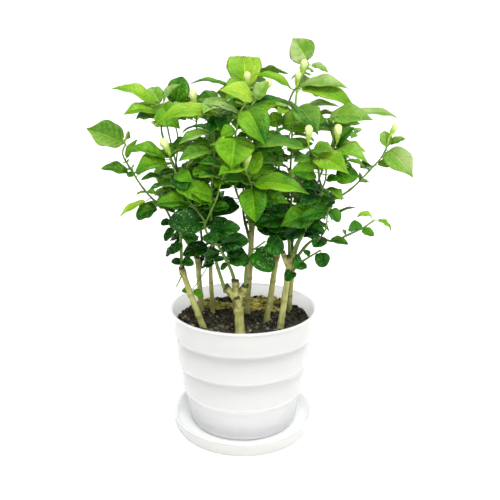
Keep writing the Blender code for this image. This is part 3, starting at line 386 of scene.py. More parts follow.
        (101, 78, 312), (104, 82, 323)),
    "shoot_back_low_left": hiddenShoot(
        5, [(-47, 21, 160), (-44, 32, 176), (-46, 54, 198), (-54, 76, 222), (-62, 96, 240), (-68, 108, 262)]),
    "shoot_back_low_mid": hiddenShoot(
        5, [(8, 15, 196), (4, 28, 206), (0, 52, 220), (0, 76, 240), (2, 96, 264), (4, 106, 292)]),
    "shoot_back_low_right": hiddenShoot(
        5, [(53, 22, 174), (52, 34, 186), (54, 58, 202), (60, 80, 222), (68, 98, 246), (72, 108, 270)]),
}

# Seen from the front at eye height, daylight shows through these gaps: x, z and radius in millimetres
openGaps = (
    (-70, 308, 9), (-47, 312, 9), (-64, 282, 7), (-10, 311, 6), (30, 319, 8), (41, 312, 7), (56, 297, 8),
    (38, 296, 6), (52, 277, 8), (69, 266, 8), (93, 264, 10), (-8, 249, 9), (-12, 222, 13), (-2, 232, 9),
    (-80, 222, 9), (-38, 207, 6), (17, 204, 8), (98, 226, 9), (47, 216, 6), (55, 238, 5), (45, 196, 6),
    (78, 301, 7), (-92, 290, 12), (0, 190, 9), (-20, 172, 8), (22, 178, 8), (62, 180, 8),
    (52, 343, 7), (-121, 261, 9), (-122, 286, 7), (128, 296, 8), (130, 251, 10), (107, 249, 7), (107, 238, 6),
    (-36, 350, 6), (-20, 348, 6), (30, 348, 6), (39, 346, 5), (-99, 311, 8), (-88, 307, 6), (-95, 262, 8),
)

# Where a leaf's tip may move, in shares of its length, until it is clear: first to the front or the back
bends = [Vector(v) for v in (
    (0, 0, 0), (0, -0.15, 0), (0, 0.15, 0), (0, -0.3, 0), (0, 0.3, 0), (0, -0.15, -0.1), (0, 0.15, -0.1),
    (0, -0.15, 0.1), (0, 0.15, 0.1), (0, -0.45, 0), (0, 0.45, 0), (0.1, -0.3, -0.1), (-0.1, -0.3, -0.1),
    (0.1, 0.3, 0.1), (-0.1, 0.3, 0.1), (0, -0.6, 0), (0, 0.6, 0),
)]

caneForm = {
    "depth": 24 * mm,
    "taper": 0.84,
    "nodeSwell": 1.14,
    "nodeSpacing": 30 * mm,
    "stub": 0.86,
    "stubTaper": 0.06,
}

stemForm = {
    "spacing": 28 * mm,
    "fineSpacing": 4 * mm,
    "rowSpacing": 3.2 * mm,
    "nodeSpacing": 26 * mm,
    "baseRadius": 1.4 * mm,
    "tipRadius": 0.8 * mm,
    "twigRadius": 0.75 * mm,
    "calyxLength": 5 * mm,
    "calyxBelow": 0.7,
    "calyxAbove": 0.3,
    "calyxRadii": (0.9 * mm, 2.2 * mm),
    "stalkInside": 0.4 * mm,
    "shortestStalk": 1 * mm,
    "budRadius": 4.1 * mm,
    "budLength": 14 * mm,
    "budShares": (0.6, 1.1, 0.4),
}

# The plain blade that the solids have: it tests for room, and the fine leaf follows its line
plainLeaf = {
    "halfThickness": 0.55 * mm,
    "petioleHalfWidth": 0.7 * mm,
    "petiole": 5,
    "shortestPetiole": 3,
    "arch": 0.1,
    "fold": math.radians(14),
    "clearance": 0.7 * mm,
    "longLeaf": 48 * mm,
    "rootFree": 4 * mm,
    "joint": 0.12,
    "sizes": (1.0, 0.86, 0.72),
    "shortBlade": ((0.24, 1.06), (0.62, 0.92)),
    "longBlade": ((0.16, 0.84), (0.42, 1.12), (0.74, 0.78)),
}

# Leaf pairs that the rule adds: length low and high in the plant, the lean of the upper side and the rise
growth = {
    "seed": 7,
    "lowLength": (20, 28),
    "highLength": (36, 50),
    "lowHeight": 0.19,
    "heightRange": 0.13,
    "roundness": 0.76,
    "slimmer": 0.12,
    "tries": 14,
    "stray": 0.5,
    "strayMore": 0.2,
    "smaller": 0.03,
    "from": 0.3,
    "lean": (math.radians(15), math.radians(62)),
    "rise": (-0.55, 0.25),
    "outwardFrom": Vector((0, 0.035, 0)),
    "box": (Vector((-0.118, -0.090, 0.165)), Vector((0.118, 0.135, 0.376))),
    "eye": Vector((0, -0.640, 0.376)),
}


def at(point):
    return Vector(point) * mm


def routeLength(points):
    return sum((b - a).length for a, b in zip(points, points[1:]))


def along(points, share):
    # the point and the direction at a share of a route's length
    left = share * routeLength(points)
    for a, b in zip(points, points[1:]):
        step = (b - a).length
        if left <= step:
            return a.lerp(b, left / step), (b - a).normalized()
        left -= step
    return points[-1].copy(), (points[-1] - points[-2]).normalized()


def smoothRoute(points, spacing):
    ends = [points[0] * 2 - points[1], *points, points[-1] * 2 - points[-2]]
    dense = []
    for p0, p1, p2, p3 in zip(ends, ends[1:], ends[2:], ends[3:]):
        for i in range(8):
            t = i / 8
            dense.append(
                0.5 * (p1 * 2 + (p2 - p0) * t + (p0 * 2 - p1 * 5 + p2 * 4 - p3) * t**2
                       + (p1 * 3 - p0 - p2 * 3 + p3) * t**3)
            )
    dense.append(points[-1])
    count = max(2, round(routeLength(dense) / spacing))
    return [along(dense, i / count)[0] for i in range(count + 1)]


def caneRoute(name):
    radius, points, _ = canes[name]
    points = [at(p) for p in points]
    foot = points[0] + (points[0] - points[1]).normalized() * caneForm["depth"]
    route = smoothRoute([foot, *points], caneForm["nodeSpacing"] / 2)
    last = len(route) - 1
    radii = []
    for i in range(len(route)):
        taper = 1 + (caneForm["taper"] - 1) * i / last
        radii.append(radius * mm * taper * (caneForm["nodeSwell"] if i % 2 and i < last else 1))
    return route, radii


def caneTubes(name):
    # points and radii of a cane and of its pruned stubs
    route, radii = caneRoute(name)
    tubes = [(route, radii)]
    for stub in canes[name][2]:
        shares = [caneForm["stub"] - caneForm["stubTaper"] * k for k in range(len(stub))]
        tubes.append(([at(p) for p in stub], [radii[-1] * share for share in shares]))
    return tubes


def bladeFrame(base, tip, up):
    run = (tip - base).normalized()
    out = up - run * up.dot(run)
    if out.length < 0.05:
        out = Vector((0, 0, 1)) - run * run.z
    out.normalize()
    return run, run.cross(out), out


def leafSections(leaf, grow=0.0):
    root, tip, width, up, petiole, arch = leaf
    base = root + (tip - root).normalized() * petiole
    run, across, out = bladeFrame(base, tip, up)
    length = (tip - base).length
    half = plainLeaf["petioleHalfWidth"] + grow / 2
    sections = [(base, half, 0, half)]
    for place, share in plainLeaf["longBlade" if length > plainLeaf["longLeaf"] else "shortBlade"]:
        middle = base.lerp(tip, place) + out * (arch * length * 4 * place * (1 - place))
        half = width / 2 * share
        sections.append((middle, half + grow, half * math.sin(plainLeaf["fold"]), plainLeaf["halfThickness"] + grow))
    if petiole and not grow:
        thin = plainLeaf["petioleHalfWidth"] * 0.6
        sections.insert(0, (root, thin, 0, thin))
    elif grow and not petiole:
        share = plainLeaf["rootFree"] / (sections[1][0] - root).length
        sections[0] = tuple(a + (b - a) * share for a, b in zip(sections[0], sections[1]))
    return sections, tip + run * grow, across, out


def leafShape(leaf, grow=0.0):
    # places and faces of the plain folded blade
    sections, end, across, out = leafSections(leaf, grow)
    places = []
    rows = []
    for middle, half, lift, thick in sections:
        side = across * math.sqrt(half * half - lift * lift)
        corners = {
            "left": middle - side + out * lift,
            "right": middle + side + out * lift,
            "keel": middle - out * thick,
        }
        if lift:
            corners["rib"] = middle + out * thick
        rows.append({corner: len(places) + i for i, corner in enumerate(corners)})
        places += corners.values()
    faces = [] if grow else [tuple(rows[0].values())]
    for low, high in zip(rows, rows[1:]):
        for edge in ("left", "right"):
            faces.append((low[edge], high[edge], high["keel"]))
            faces.append((low[edge], high["keel"], low["keel"]))
            if "rib" in high:
                faces.append((low[edge], high[edge], high["rib"]))
            if "rib" in low:
                faces.append((low[edge], high["rib"], low["rib"]))
        if "rib" not in high:
            faces.append((low["left"], high["left"], high["right"]))
            faces.append((low["left"], high["right"], low["right"]))
        elif "rib" not in low:
            faces.append((low["left"], high["rib"], low["right"]))
    for edge in ("left", "right"):
        for middle in ("rib", "keel"):
            faces.append((rows[-1][edge], rows[-1][middle], len(places)))
    places.append(end)
    return places, faces


def tubeShape(points, radii):
    # a plain six-sided tube, which only tests for room
    places = []
    faces = []
    last = len(points) - 1
    for i, (point, radius) in enumerate(zip(points, radii)):
        ahead = points[min(i + 1, last)] - points[max(i - 1, 0)]
        across = ahead.cross(Vector((0, 1, 0))).normalized()
        beside = ahead.cross(across).normalized()
        for k in range(6):
            turn = math.tau * k / 6
            places.append(point + (across * math.cos(turn) + beside * math.sin(turn)) * radius)
            if i:
                faces.append((6 * i - 6 + k, 6 * i - 6 + (k + 1) % 6, 6 * i + (k + 1) % 6, 6 * i + k))
    return places, faces


def leafSpots(leaf):
    # the blade's middle line, edges and tip
    sections, end, across, _ = leafSections(leaf)
    spots = [end]
    for middle, half, lift, _ in sections:
        if lift:
            spots += [middle, middle - across * half, middle + across * half]
    return spots


def inOpenGap(leaf, gaps=openGaps):
    eye = growth["eye"]
    for spot in leafSpots(leaf):
        sight = spot - eye
        seen = eye + sight * (-eye.y / sight.y)
        for x, z, radius in gaps:
            if (seen.x - x * mm) ** 2 + (seen.z - z * mm) ** 2 < (radius * mm) ** 2:
                return True
    return False


def reachOf(places):
    # a ball round the places: its middle and radius
    middle = sum(places, Vector()) / len(places)
    return middle, max((p - middle).length for p in places)


class Clearance:
    # everything that is already placed, so that what comes next is bent clear of it

    def __init__(self):
        self.solids = []
        self.stems = []

    def add(self, shape):
        self.solids.append((BVHTree.FromPolygons(*shape), *reachOf(shape[0])))

    def addStem(self, shoot, shape):
        self.stems.append((shoot, BVHTree.FromPolygons(*shape)))

    def free(self, shoot, leaf, space):
        root, tip, width, up, _, arch = leaf
        shape = leafShape(leaf, space)
        middle, radius = reachOf(shape[0])
        whole = BVHTree.FromPolygons(*shape)
        for tree, there, size in self.solids:
            if (there - middle).length < radius + size and whole.overlap(tree):
                return False
        # near its root a leaf may touch its own shoot's stems
        freed = root.lerp(tip, plainLeaf["joint"])
        blade = BVHTree.FromPolygons(*leafShape((freed, tip, width, up, 0, arch), space))
        return not any((blade if owner == shoot else whole).overlap(tree) for owner, tree in self.stems)


def bentClear(clearance, shoot, leaf):
    root, tip, width, up, petiole, arch = leaf
    length = (tip - root).length
    for size in plainLeaf["sizes"]:
        for bend in bends:
            moved = root + (tip + bend * length - root).normalized() * length * (0.5 + 0.5 * size)
            trial = (root, moved, width * size, up, petiole, arch)
            if clearance.free(shoot, trial, plainLeaf["clearance"]):
                return trial
    return None


def nearestOn(route, point):
    spots = []
    for a, b in zip(route, route[1:]):
        share = (point - a).dot(b - a) / (b - a).length_squared
        spots.append(a.lerp(b, min(max(share, 0), 1)))
    return min(spots, key=lambda spot: (spot - point).length)


def stemRoutes(shoot, spacing):
    # the stems' smooth routes: a side stem starts on the nearest earlier one
    routes = []
    for stem in shoot["stems"]:
        points = [at(p) for p in stem]
        if routes:
            start = points[0]
            points[0] = min((nearestOn(route, start) for route in routes), key=lambda spot: (spot - start).length)
        routes.append(smoothRoute(points, spacing))
    return routes


def stemRadii(route, index):
    top = len(route) - 1
    base = stemForm["baseRadius"] if index == 0 else stemForm["twigRadius"]
    return [base + (min(base, stemForm["tipRadius"]) - base) * i / top for i in range(top + 1)]


def budPlaces(shoot, routes):
    # for each bud: where its stalk starts, its foot, its direction and its length
    places = []
    for stem, place, foot, top in shoot["buds"]:
        start, _ = along(routes[stem], place)
        foot, top = at(foot), at(top)
        places.append((start, foot, (top - foot).normalized(), (top - foot).length))
    return places


def budTubes(shoot, routes):
    # each bud's stalk and calyx as points and radii
    tubes = []
    below, above = (stemForm["calyxLength"] * stemForm[k] for k in ("calyxBelow", "calyxAbove"))
    for start, foot, axis, _ in budPlaces(shoot, routes):
        stalk = [start, foot - axis * below, foot + axis * stemForm["stalkInside"]]
        if (stalk[1] - stalk[0]).length < stemForm["shortestStalk"]:
            stalk = stalk[::2]
        tubes.append((stalk, [stemForm["twigRadius"]] * len(stalk)))
        tubes.append(([foot - axis * below, foot + axis * above], stemForm["calyxRadii"]))
    return tubes


def leanUp(degrees):
    # the direction of an upper side that leans to the front
    lean = math.radians(degrees)
    return Vector((0, -math.sin(lean), math.cos(lean)))


def statedLeaves(shoot, routes):
    leaves = []
    for stem, place, tip, width, lean, *rest in shoot["leaves"]:
        petiole = rest[0] if rest else plainLeaf["petiole"]
        petiole = petiole if petiole > plainLeaf["shortestPetiole"] else 0
        arch = rest[1] if len(rest) > 1 else plainLeaf["arch"]
        leaves.append((along(routes[stem], place)[0], at(tip), width * mm, leanUp(lean), petiole * mm, arch))
    return leaves


def drawnLeaf(root, heading, shrink, rng):
    # short and round low on the plant, long near its top, the upper side outward
    share = min(max((root.z - growth["lowHeight"]) / growth["heightRange"], 0), 1)
    low, high = (a + (b - a) * share for a, b in zip(growth["lowLength"], growth["highLength"]))
    length = rng.uniform(low, high) * shrink * mm
    rise = rng.uniform(*growth["rise"])
    lean = rng.uniform(*growth["lean"])
    flat = math.cos(rise)
    tip = root + Vector((math.cos(heading) * flat, math.sin(heading) * flat, math.sin(rise))) * length
    outward = root - growth["outwardFrom"]
    outward.z = 0
    up = outward.normalized() * math.sin(lean) + Vector((0, 0, math.cos(lean)))
    width = length * (growth["roundness"] - growth["slimmer"] * share)
    return root, tip, width, up, 0, plainLeaf["arch"]


def inPlantBox(leaf):
    low, high = growth["box"]
    return all(low[k] <= leaf[1][k] <= high[k] for k in range(3))


def grownLeaves(clearance, name, shoot, route, rng):
    # leaf pairs in the crosswise order of the real plant, wherever there is room for them
    leaves = []
    turn = rng.uniform(0, math.pi)
    for pair in range(shoot["fill"]):
        root, _ = along(route, growth["from"] + (1 - growth["from"]) * (pair + 1) / shoot["fill"])
        turn += math.pi / 2
        for side in (0, math.pi):
            for attempt in range(growth["tries"]):
                stray = rng.uniform(-growth["stray"], growth["stray"]) * (1 + attempt * growth["strayMore"])
                leaf = drawnLeaf(root, turn + side + stray, 1 - growth["smaller"] * attempt, rng)
                if inPlantBox(leaf) and not inOpenGap(leaf) and clearance.free(name, leaf, plainLeaf["clearance"]):
                    leaves.append(leaf)
                    clearance.add(leafShape(leaf))
                    break
    return leaves


# More leaves than the solids have, only where they don't hide the leaves that the photograph shows
moreLeaves = {
    "seed": 300,
    "spacing": 6.5 * mm,
    "from": 0.1,
    "tries": 14,
    "space": 0.35 * mm,
    "shrink": (0.7, 1.02),
    "smaller": 0.05,
    "turn": 2.4,
    "sight": 0.3,
    "gaps": (
        (-5, 166, 9), (7, 166, 9), (20, 166, 9), (0, 154, 9), (43, 368, 6), (114, 266, 7), (62, 198, 6), (53, 312, 6),
    ),
}


def joinedTree(leaves):
    places = []
    faces = []
    for leaf in leaves:
        corners, sides = leafShape(leaf)
        faces += [tuple(i + len(places) for i in side) for side in sides]
        places += corners
    return BVHTree.FromPolygons(places, faces)


def hides(leaf, shown):
    eye = growth["eye"]
    for spot in leafSpots(leaf):
        sight = (spot - eye).normalized()
        if shown.ray_cast(spot + sight * mm, sight, moreLeaves["sight"])[0]:
            return True
    return False


def addedLeaves(clearance, name, shoot, routes, shown, rng):
    leaves = []
    if not shoot["fill"]:
        return leaves
    for route in routes:
        for _ in range(round(routeLength(route) / moreLeaves["spacing"])):
            root, _ = along(route, rng.uniform(moreLeaves["from"], 1))
            heading = rng.uniform(0, math.tau)
            for attempt in range(moreLeaves["tries"]):
                size = rng.uniform(*moreLeaves["shrink"]) * (1 - moreLeaves["smaller"] * attempt)
                leaf = drawnLeaf(root, heading + attempt * moreLeaves["turn"], size, rng)
                if not inPlantBox(leaf) or inOpenGap(leaf, openGaps + moreLeaves["gaps"]) or hides(leaf, shown):
                    continue
                if clearance.free(name, leaf, moreLeaves["space"]):
                    leaves.append(leaf)
                    clearance.add(leafShape(leaf))
                    break
    return leaves


# How light the leaves are that the rule adds: dark low and inside, light at the top and at the outer ends, partly the
# leaves' own greens and partly painted shade and light
toneRule = {
    "seed": 100,
    "lowHeight": 0.20,
    "heightRange": 0.16,
    "middle": 0.035,
    "reach": 0.11,
    "darkest": 0.05,
    "byHeight": 0.47,
    "byReach": 0.16,
    "chance": (-0.12, 0.16),
}


def toneOf(leaf, rng):
    tip = leaf[1]
    rule = toneRule
    height = min(max((tip.z - rule["lowHeight"]) / rule["heightRange"], 0), 1)
    outer = min(math.hypot(tip.x, tip.y - rule["middle"]) / rule["reach"], 1)
    tone = rule["darkest"] + rule["byHeight"] * height + rule["byReach"] * outer * height
    return min(max(tone + rng.uniform(*rule["chance"]), 0), 1)


def placedLeaves(routes):
    # for every shoot its leaves, each with a tone
    clearance = Clearance()
    for name in canes:
        for points, radii in caneTubes(name):
            clearance.add(tubeShape(points, radii))
    for name, shoot in shoots.items():
        for i, route in enumerate(routes[name]):
            clearance.addStem(name, tubeShape(route, stemRadii(route, i)))
        for points, radii in budTubes(shoot, routes[name]):
            clearance.addStem(name, tubeShape(points, radii))
        for _, foot, axis, length in budPlaces(shoot, routes[name]):
            points = [foot, foot + axis * length / 2, foot + axis * length]
            clearance.add(tubeShape(points, [stemForm["budRadius"] * share for share in stemForm["budShares"]]))
    leaves = {}
    stated = []
    for name, shoot in shoots.items():
        leaves[name] = []
        for leaf, tone, cast in zip(statedLeaves(shoot, routes[name]), shoot["tones"], shoot["casts"]):
            placed = bentClear(clearance, name, leaf)
            if placed:
                leaves[name].append((placed, tone, cast))
                stated.append(placed)
                clearance.add(leafShape(placed))
    for index, (name, shoot) in enumerate(shoots.items()):
        rng = random.Random(growth["seed"] + index)
        toneRng = random.Random(toneRule["seed"] + index)
        for leaf in grownLeaves(clearance, name, shoot, routes[name][0], rng):
            leaves[name].append((leaf, toneOf(leaf, toneRng), "-"))
    print("leaves of the solids:", sum(len(group) for group in leaves.values()))
    shown = joinedTree(stated)
    for index, (name, shoot) in enumerate(shoots.items()):
        rng = random.Random(moreLeaves["seed"] + index)
        for leaf in addedLeaves(clearance, name, shoot, routes[name], shown, rng):
            leaves[name].append((leaf, toneOf(leaf, rng), "-"))
    print("leaves in all:", sum(len(group) for group in leaves.values()))
    return leaves


def linked(name, data):
    obj = bpy.data.objects.new(name, data)
    bpy.context.scene.collection.objects.link(obj)
    return obj


class Heap:
    # collects lofted rings of points, then makes one mesh of them with two vectors at each point for its paint:
    # on a leaf "blade" is across, along and underside, and "kind" is tone, seed and a tenth of its side veins

    def __init__(self):
        self.points, self.corners, self.sizes, self.slots, self.blade, self.kind = [], [], [], [], [], []
        self.count = 0

    def add(self, points, faces, blade, kind, slot=0):
        # faces: arrays of corner numbers, one array for each face size
        self.points.append(points)
        for group in faces:
            self.corners.append((group + self.count).ravel())
            self.sizes.append(np.full(len(group), group.shape[1]))
            self.slots.append(np.full(len(group), slot))
        self.blade.append(np.broadcast_to(blade, points.shape))
        self.kind.append(np.broadcast_to(kind, points.shape))
        self.count += len(points)

    def loft(self, rings, blade, kind, slot=0):
        rows, ring = rings.shape[:2]
        low = np.arange(rows - 1)[:, None] * ring + np.arange(ring)
        side = np.arange(rows - 1)[:, None] * ring + (np.arange(ring) + 1) % ring
        quads = np.stack([low, side, side + ring, low + ring], axis=-1).reshape(-1, 4)
        start = np.arange(ring)[::-1][None, :]
        end = (rows - 1) * ring + np.arange(ring)[None, :]
        flat = np.broadcast_to(blade, rings.shape).reshape(-1, 3)
        self.add(rings.reshape(-1, 3), [quads, start, end], flat, kind, slot)

    def piece(self, name, materials):
        mesh = bpy.data.meshes.new(name)
        points = np.concatenate(self.points).astype(np.float32)
        corners = np.concatenate(self.corners).astype(np.int32)
        sizes = np.concatenate(self.sizes)
        mesh.vertices.add(len(points))
        mesh.vertices.foreach_set("co", points.ravel())
        mesh.loops.add(len(corners))
        mesh.loops.foreach_set("vertex_index", corners)
        mesh.polygons.add(len(sizes))
        mesh.polygons.foreach_set("loop_start", np.concatenate([[0], np.cumsum(sizes)[:-1]]).astype(np.int32))
        mesh.polygons.foreach_set("material_index", np.concatenate(self.slots).astype(np.int32))
        for layer, values in (("blade", self.blade), ("kind", self.kind)):
            attribute = mesh.attributes.new(layer, "FLOAT_VECTOR", "POINT")
            attribute.data.foreach_set("vector", np.concatenate(values).astype(np.float32).ravel())
        mesh.update(calc_edges=True)
        mesh.shade_smooth()
        for material in materials:
            mesh.materials.append(material)
        return linked(name, mesh)


def normal(vectors):
    return vectors / np.maximum(np.linalg.norm(vectors, axis=-1, keepdims=True), 1e-12)


def smoothStep(low, high, x):
    t = np.clip((x - low) / (high - low), 0, 1)
    return t * t * (3 - 2 * t)


def circle(angles, side, beside):
    return np.cos(angles)[:, None] * side + np.sin(angles)[:, None] * beside


def roundAxis(axis):
    # the axis and two directions square to it
    axis = np.array(axis)
    side = normal(np.cross(axis, (0.3, 0.9, 0.1)))
    return axis, side, np.cross(axis, side)


def tubeRings(points, radii, sides, ripple=None):
    # rings of a round tube with frames that don't twist; ripple(angle, length) scales the radius
    points = np.array([tuple(p) for p in points])
    ahead = normal(np.gradient(points, axis=0))
    side = np.cross(ahead[0], (0.0, 1.0, 0.0))
    if np.linalg.norm(side) < 0.1:
        side = np.cross(ahead[0], (1.0, 0.0, 0.0))
    angles = np.arange(sides) / sides * math.tau
    length = np.concatenate([[0], np.cumsum(np.linalg.norm(np.diff(points, axis=0), axis=1))])
    rings = []
    for point, run, radius, s in zip(points, ahead, radii, length):
        side = normal(side - run * side.dot(run))
        wide = radius * (ripple(angles, s) if ripple else np.ones(sides))
        rings.append(point + circle(angles, side, np.cross(run, side)) * wide[:, None])
    return np.array(rings), length


def tubeBlade(rings, length):
    rows, ring = rings.shape[:2]
    blade = np.zeros((rows, ring, 3))
    blade[..., 0] = np.abs(np.arange(ring) / ring * 2 - 1)
    blade[..., 1] = (length / max(length[-1], 1e-9))[:, None]
    return blade


def addGreenTube(heap, points, radii, sides, age, rng):
    rings, length = tubeRings(points, radii, sides)
    heap.loft(rings, tubeBlade(rings, length), (age, rng.uniform(0, 1), 0.2), 1)


# The three entries of "columns" and "rows" are for short, middling and long leaves, parted by "grades"
fineLeaf = {
    "seed": 900,
    "halfThickness": 0.17 * mm,
    "petioleRadius": 0.55 * mm,
    "petioleLength": 3.6 * mm,
    "petioleShare": 0.14,
    "petioleRadii": (1.15, 0.95, 0.9),
    "edge": 0.14 * mm,
    "collar": 0.3 * mm,
    "lopsided": 0.05,
    "grades": (17 * mm, 31 * mm),
    "columns": (5, 6, 9),
    "rows": (10, 16, 26),
    "slimFrom": 20,
    "slimRange": 26,
    "veinSpacing": 6.4 * mm,
    "veinSlant": 0.17,
    "veinBend": 0.11,
    "quilt": 0.10,
    "groove": 0.32 * mm,
    "grooveWidth": 0.6 * mm,
    "rib": 0.34 * mm,
    "folds": (1.0, 2.1),
    "waves": (1.3, 2.6),
    "wave": 0.13,
    "twist": 0.26,
    "curl": 0.05,
    "roundTone": 0.5,
    "casts": {"c": (0.0, 0.15), "-": (0.2, 0.85), "w": (0.75, 1.0)},
}


def addLeaf(heap, leaf, tone, cast, stem, rng):
    # one closed loft from the petiole's root in the stem to the pointed tip
    root, tip, width, up, petiole, arch = leaf
    root = nearestOn(stem, root)
    base = root + (tip - root).normalized() * petiole
    out = np.array(bladeFrame(base, tip, up)[2])
    base, end, root = np.array(base), np.array(tip), np.array(root)
    length = np.linalg.norm(end - base)
    grade = sum(length >= limit for limit in fineLeaf["grades"])
    half, rows = fineLeaf["columns"][grade], fineLeaf["rows"][grade]
    free = 0 if petiole else min(fineLeaf["petioleShare"], fineLeaf["petioleLength"] / length)
    slim = min(max((length / mm - fineLeaf["slimFrom"]) / fineLeaf["slimRange"], 0), 1)

    # along the blade: rows closer at both ends
    k = np.arange(rows + 1) / rows
    v = 0.55 * k + 0.45 * (0.5 - 0.5 * np.cos(np.pi * k))
    t = free + (1 - free) * v
    middle = base + (end - base) * t[:, None] + out * (arch * length * 4 * t * (1 - t))[:, None]
    middle -= out * (rng.uniform(0, fineLeaf["curl"]) * length * smoothStep(0.55, 1, t) ** 1.5)[:, None]
    ahead = normal(np.gradient(middle, axis=0))
    turn = rng.uniform(-1, 1) * fineLeaf["twist"] * (t - 0.2)
    over = normal(np.cross(np.cross(ahead, out), ahead))
    beside = np.cross(ahead, over)
    side = beside * np.cos(turn)[:, None] + over * np.sin(turn)[:, None]
    face = over * np.cos(turn)[:, None] - beside * np.sin(turn)[:, None]

    # the outline: widest below the middle, blunter on the short leaves
    dark = 1 - min(tone / fineLeaf["roundTone"], 1)
    sharpness = (0.54 - 0.11 * dark) + (0.22 + 0.62 * min(slim * 1.6, 1)) * (1 - 0.85 * dark) * v
    share = np.clip(np.sin(np.pi * v ** (0.82 - 0.06 * slim)), 0, 1) ** sharpness
    share *= 1 - 0.16 * slim * smoothStep(0.68, 0.9, v) * (1 - smoothStep(0.93, 1, v))
    wide = width / 2 * share + fineLeaf["edge"] + fineLeaf["collar"] * (1 - smoothStep(0, 0.05, v))

    # round the section: the upper side from left to right, then the underside back; a 2 marks values on the whole grid
    x = np.linspace(-1, 1, 2 * half + 1)
    u = np.sign(x) * np.abs(x) ** 1.22
    ring = np.concatenate([u, u[-2:0:-1]])
    under = np.concatenate([np.zeros(2 * half + 1), np.ones(2 * half - 1)])
    across2, v2 = np.meshgrid(ring, v)
    edge2 = np.abs(across2)
    wide2 = wide[:, None]
    lopsided = 1 + fineLeaf["lopsided"] * rng.uniform(-1, 1) * np.sign(across2)
    s = across2 * wide2 * lopsided

    fold = math.sin(plainLeaf["fold"] * rng.uniform(*fineLeaf["folds"]))
    rise = fold * np.abs(s) * (1.25 - 0.55 * edge2)
    waveA, waveB = rng.uniform(0, math.tau), rng.uniform(0, math.tau)
    waves = rng.uniform(*fineLeaf["waves"])
    phase = np.where(across2 < 0, waveA, waveB)
    rise += fineLeaf["wave"] * wide2 * edge2**2.5 * np.sin(math.tau * waves * v2 + phase) * np.sin(np.pi * v2) ** 0.5
    veins = max(3, round(length / fineLeaf["veinSpacing"]))
    ridge = np.abs(np.sin(np.pi * veins * (v2 - fineLeaf["veinSlant"] * edge2 - fineLeaf["veinBend"] * edge2**2)))
    room = smoothStep(0.02, 0.3, edge2) * (1 - smoothStep(0.7, 1, edge2))
    room = room * smoothStep(0.02, 0.15, v2) * (1 - smoothStep(0.8, 1, v2))
    rise += fineLeaf["quilt"] * width * (ridge**0.8 - 0.5) * room
    groove = np.exp(-((s / fineLeaf["grooveWidth"]) ** 2)) * (1 - 0.8 * v2)
    rise -= fineLeaf["groove"] * groove * (under < 0.5)
    flat = np.clip(1 - edge2**4, 0, 1) ** 0.5 * np.minimum(1, wide2 / (1.2 * mm))
    thick = fineLeaf["halfThickness"] * flat * np.where(under > 0.5, -1, 1)
    thick -= fineLeaf["rib"] * groove * (under > 0.5)
    cosine = math.cos(math.asin(min(fold, 0.9)))
    rings = middle[:, None] + side[:, None] * (s * cosine)[..., None] + face[:, None] * (rise + thick)[..., None]

    # the petiole, a round stalk that runs into the blade
    stalk = np.array([0.0, 0.4, 0.8])
    if petiole:
        line = root + (base - root) * stalk[:, None]
    else:
        part = stalk * free
        line = root + (end - root) * part[:, None] + out * (arch * length * 4 * part * (1 - part))[:, None]
    turns = np.pi * (1 - np.arange(4 * half) / (2 * half))
    radii = fineLeaf["petioleRadius"] * (0.75 + 0.35 * slim) * np.array(fineLeaf["petioleRadii"])
    stalkRings = line[:, None] + circle(turns, side[0], face[0])[None] * radii[:, None, None]
    rings = np.concatenate([stalkRings, rings])

    blade = np.zeros(rings.shape)
    blade[..., 0] = ring
    blade[3:, :, 1] = v[:, None]
    blade[:3, :, 1] = np.array([-0.3, -0.2, -0.1])[:, None]
    blade[..., 2] = under
    heap.loft(rings, blade, (tone, rng.uniform(*fineLeaf["casts"][cast]), veins / 10))


def addStem(heap, route, radii, age, rng, nodes=0):
    # a slender stem that swells a little at its nodes: age 0 is green, 1 is brown
    points = smoothRoute(route, stemForm["rowSpacing"])
    shares = np.linspace(0, 1, len(points))
    wide = np.interp(shares, np.linspace(0, 1, len(radii)), radii)
    if nodes:
        wide = wide * (1 + 0.35 * age * np.exp(-shares / 0.25))
        beat = np.abs(np.mod(shares * nodes + 0.5, 1) - 0.5) * 2
        wide = wide * (1 + 0.28 * np.exp(-((beat / 0.16) ** 2)))
    addGreenTube(heap, points, wide, 8, age, rng)


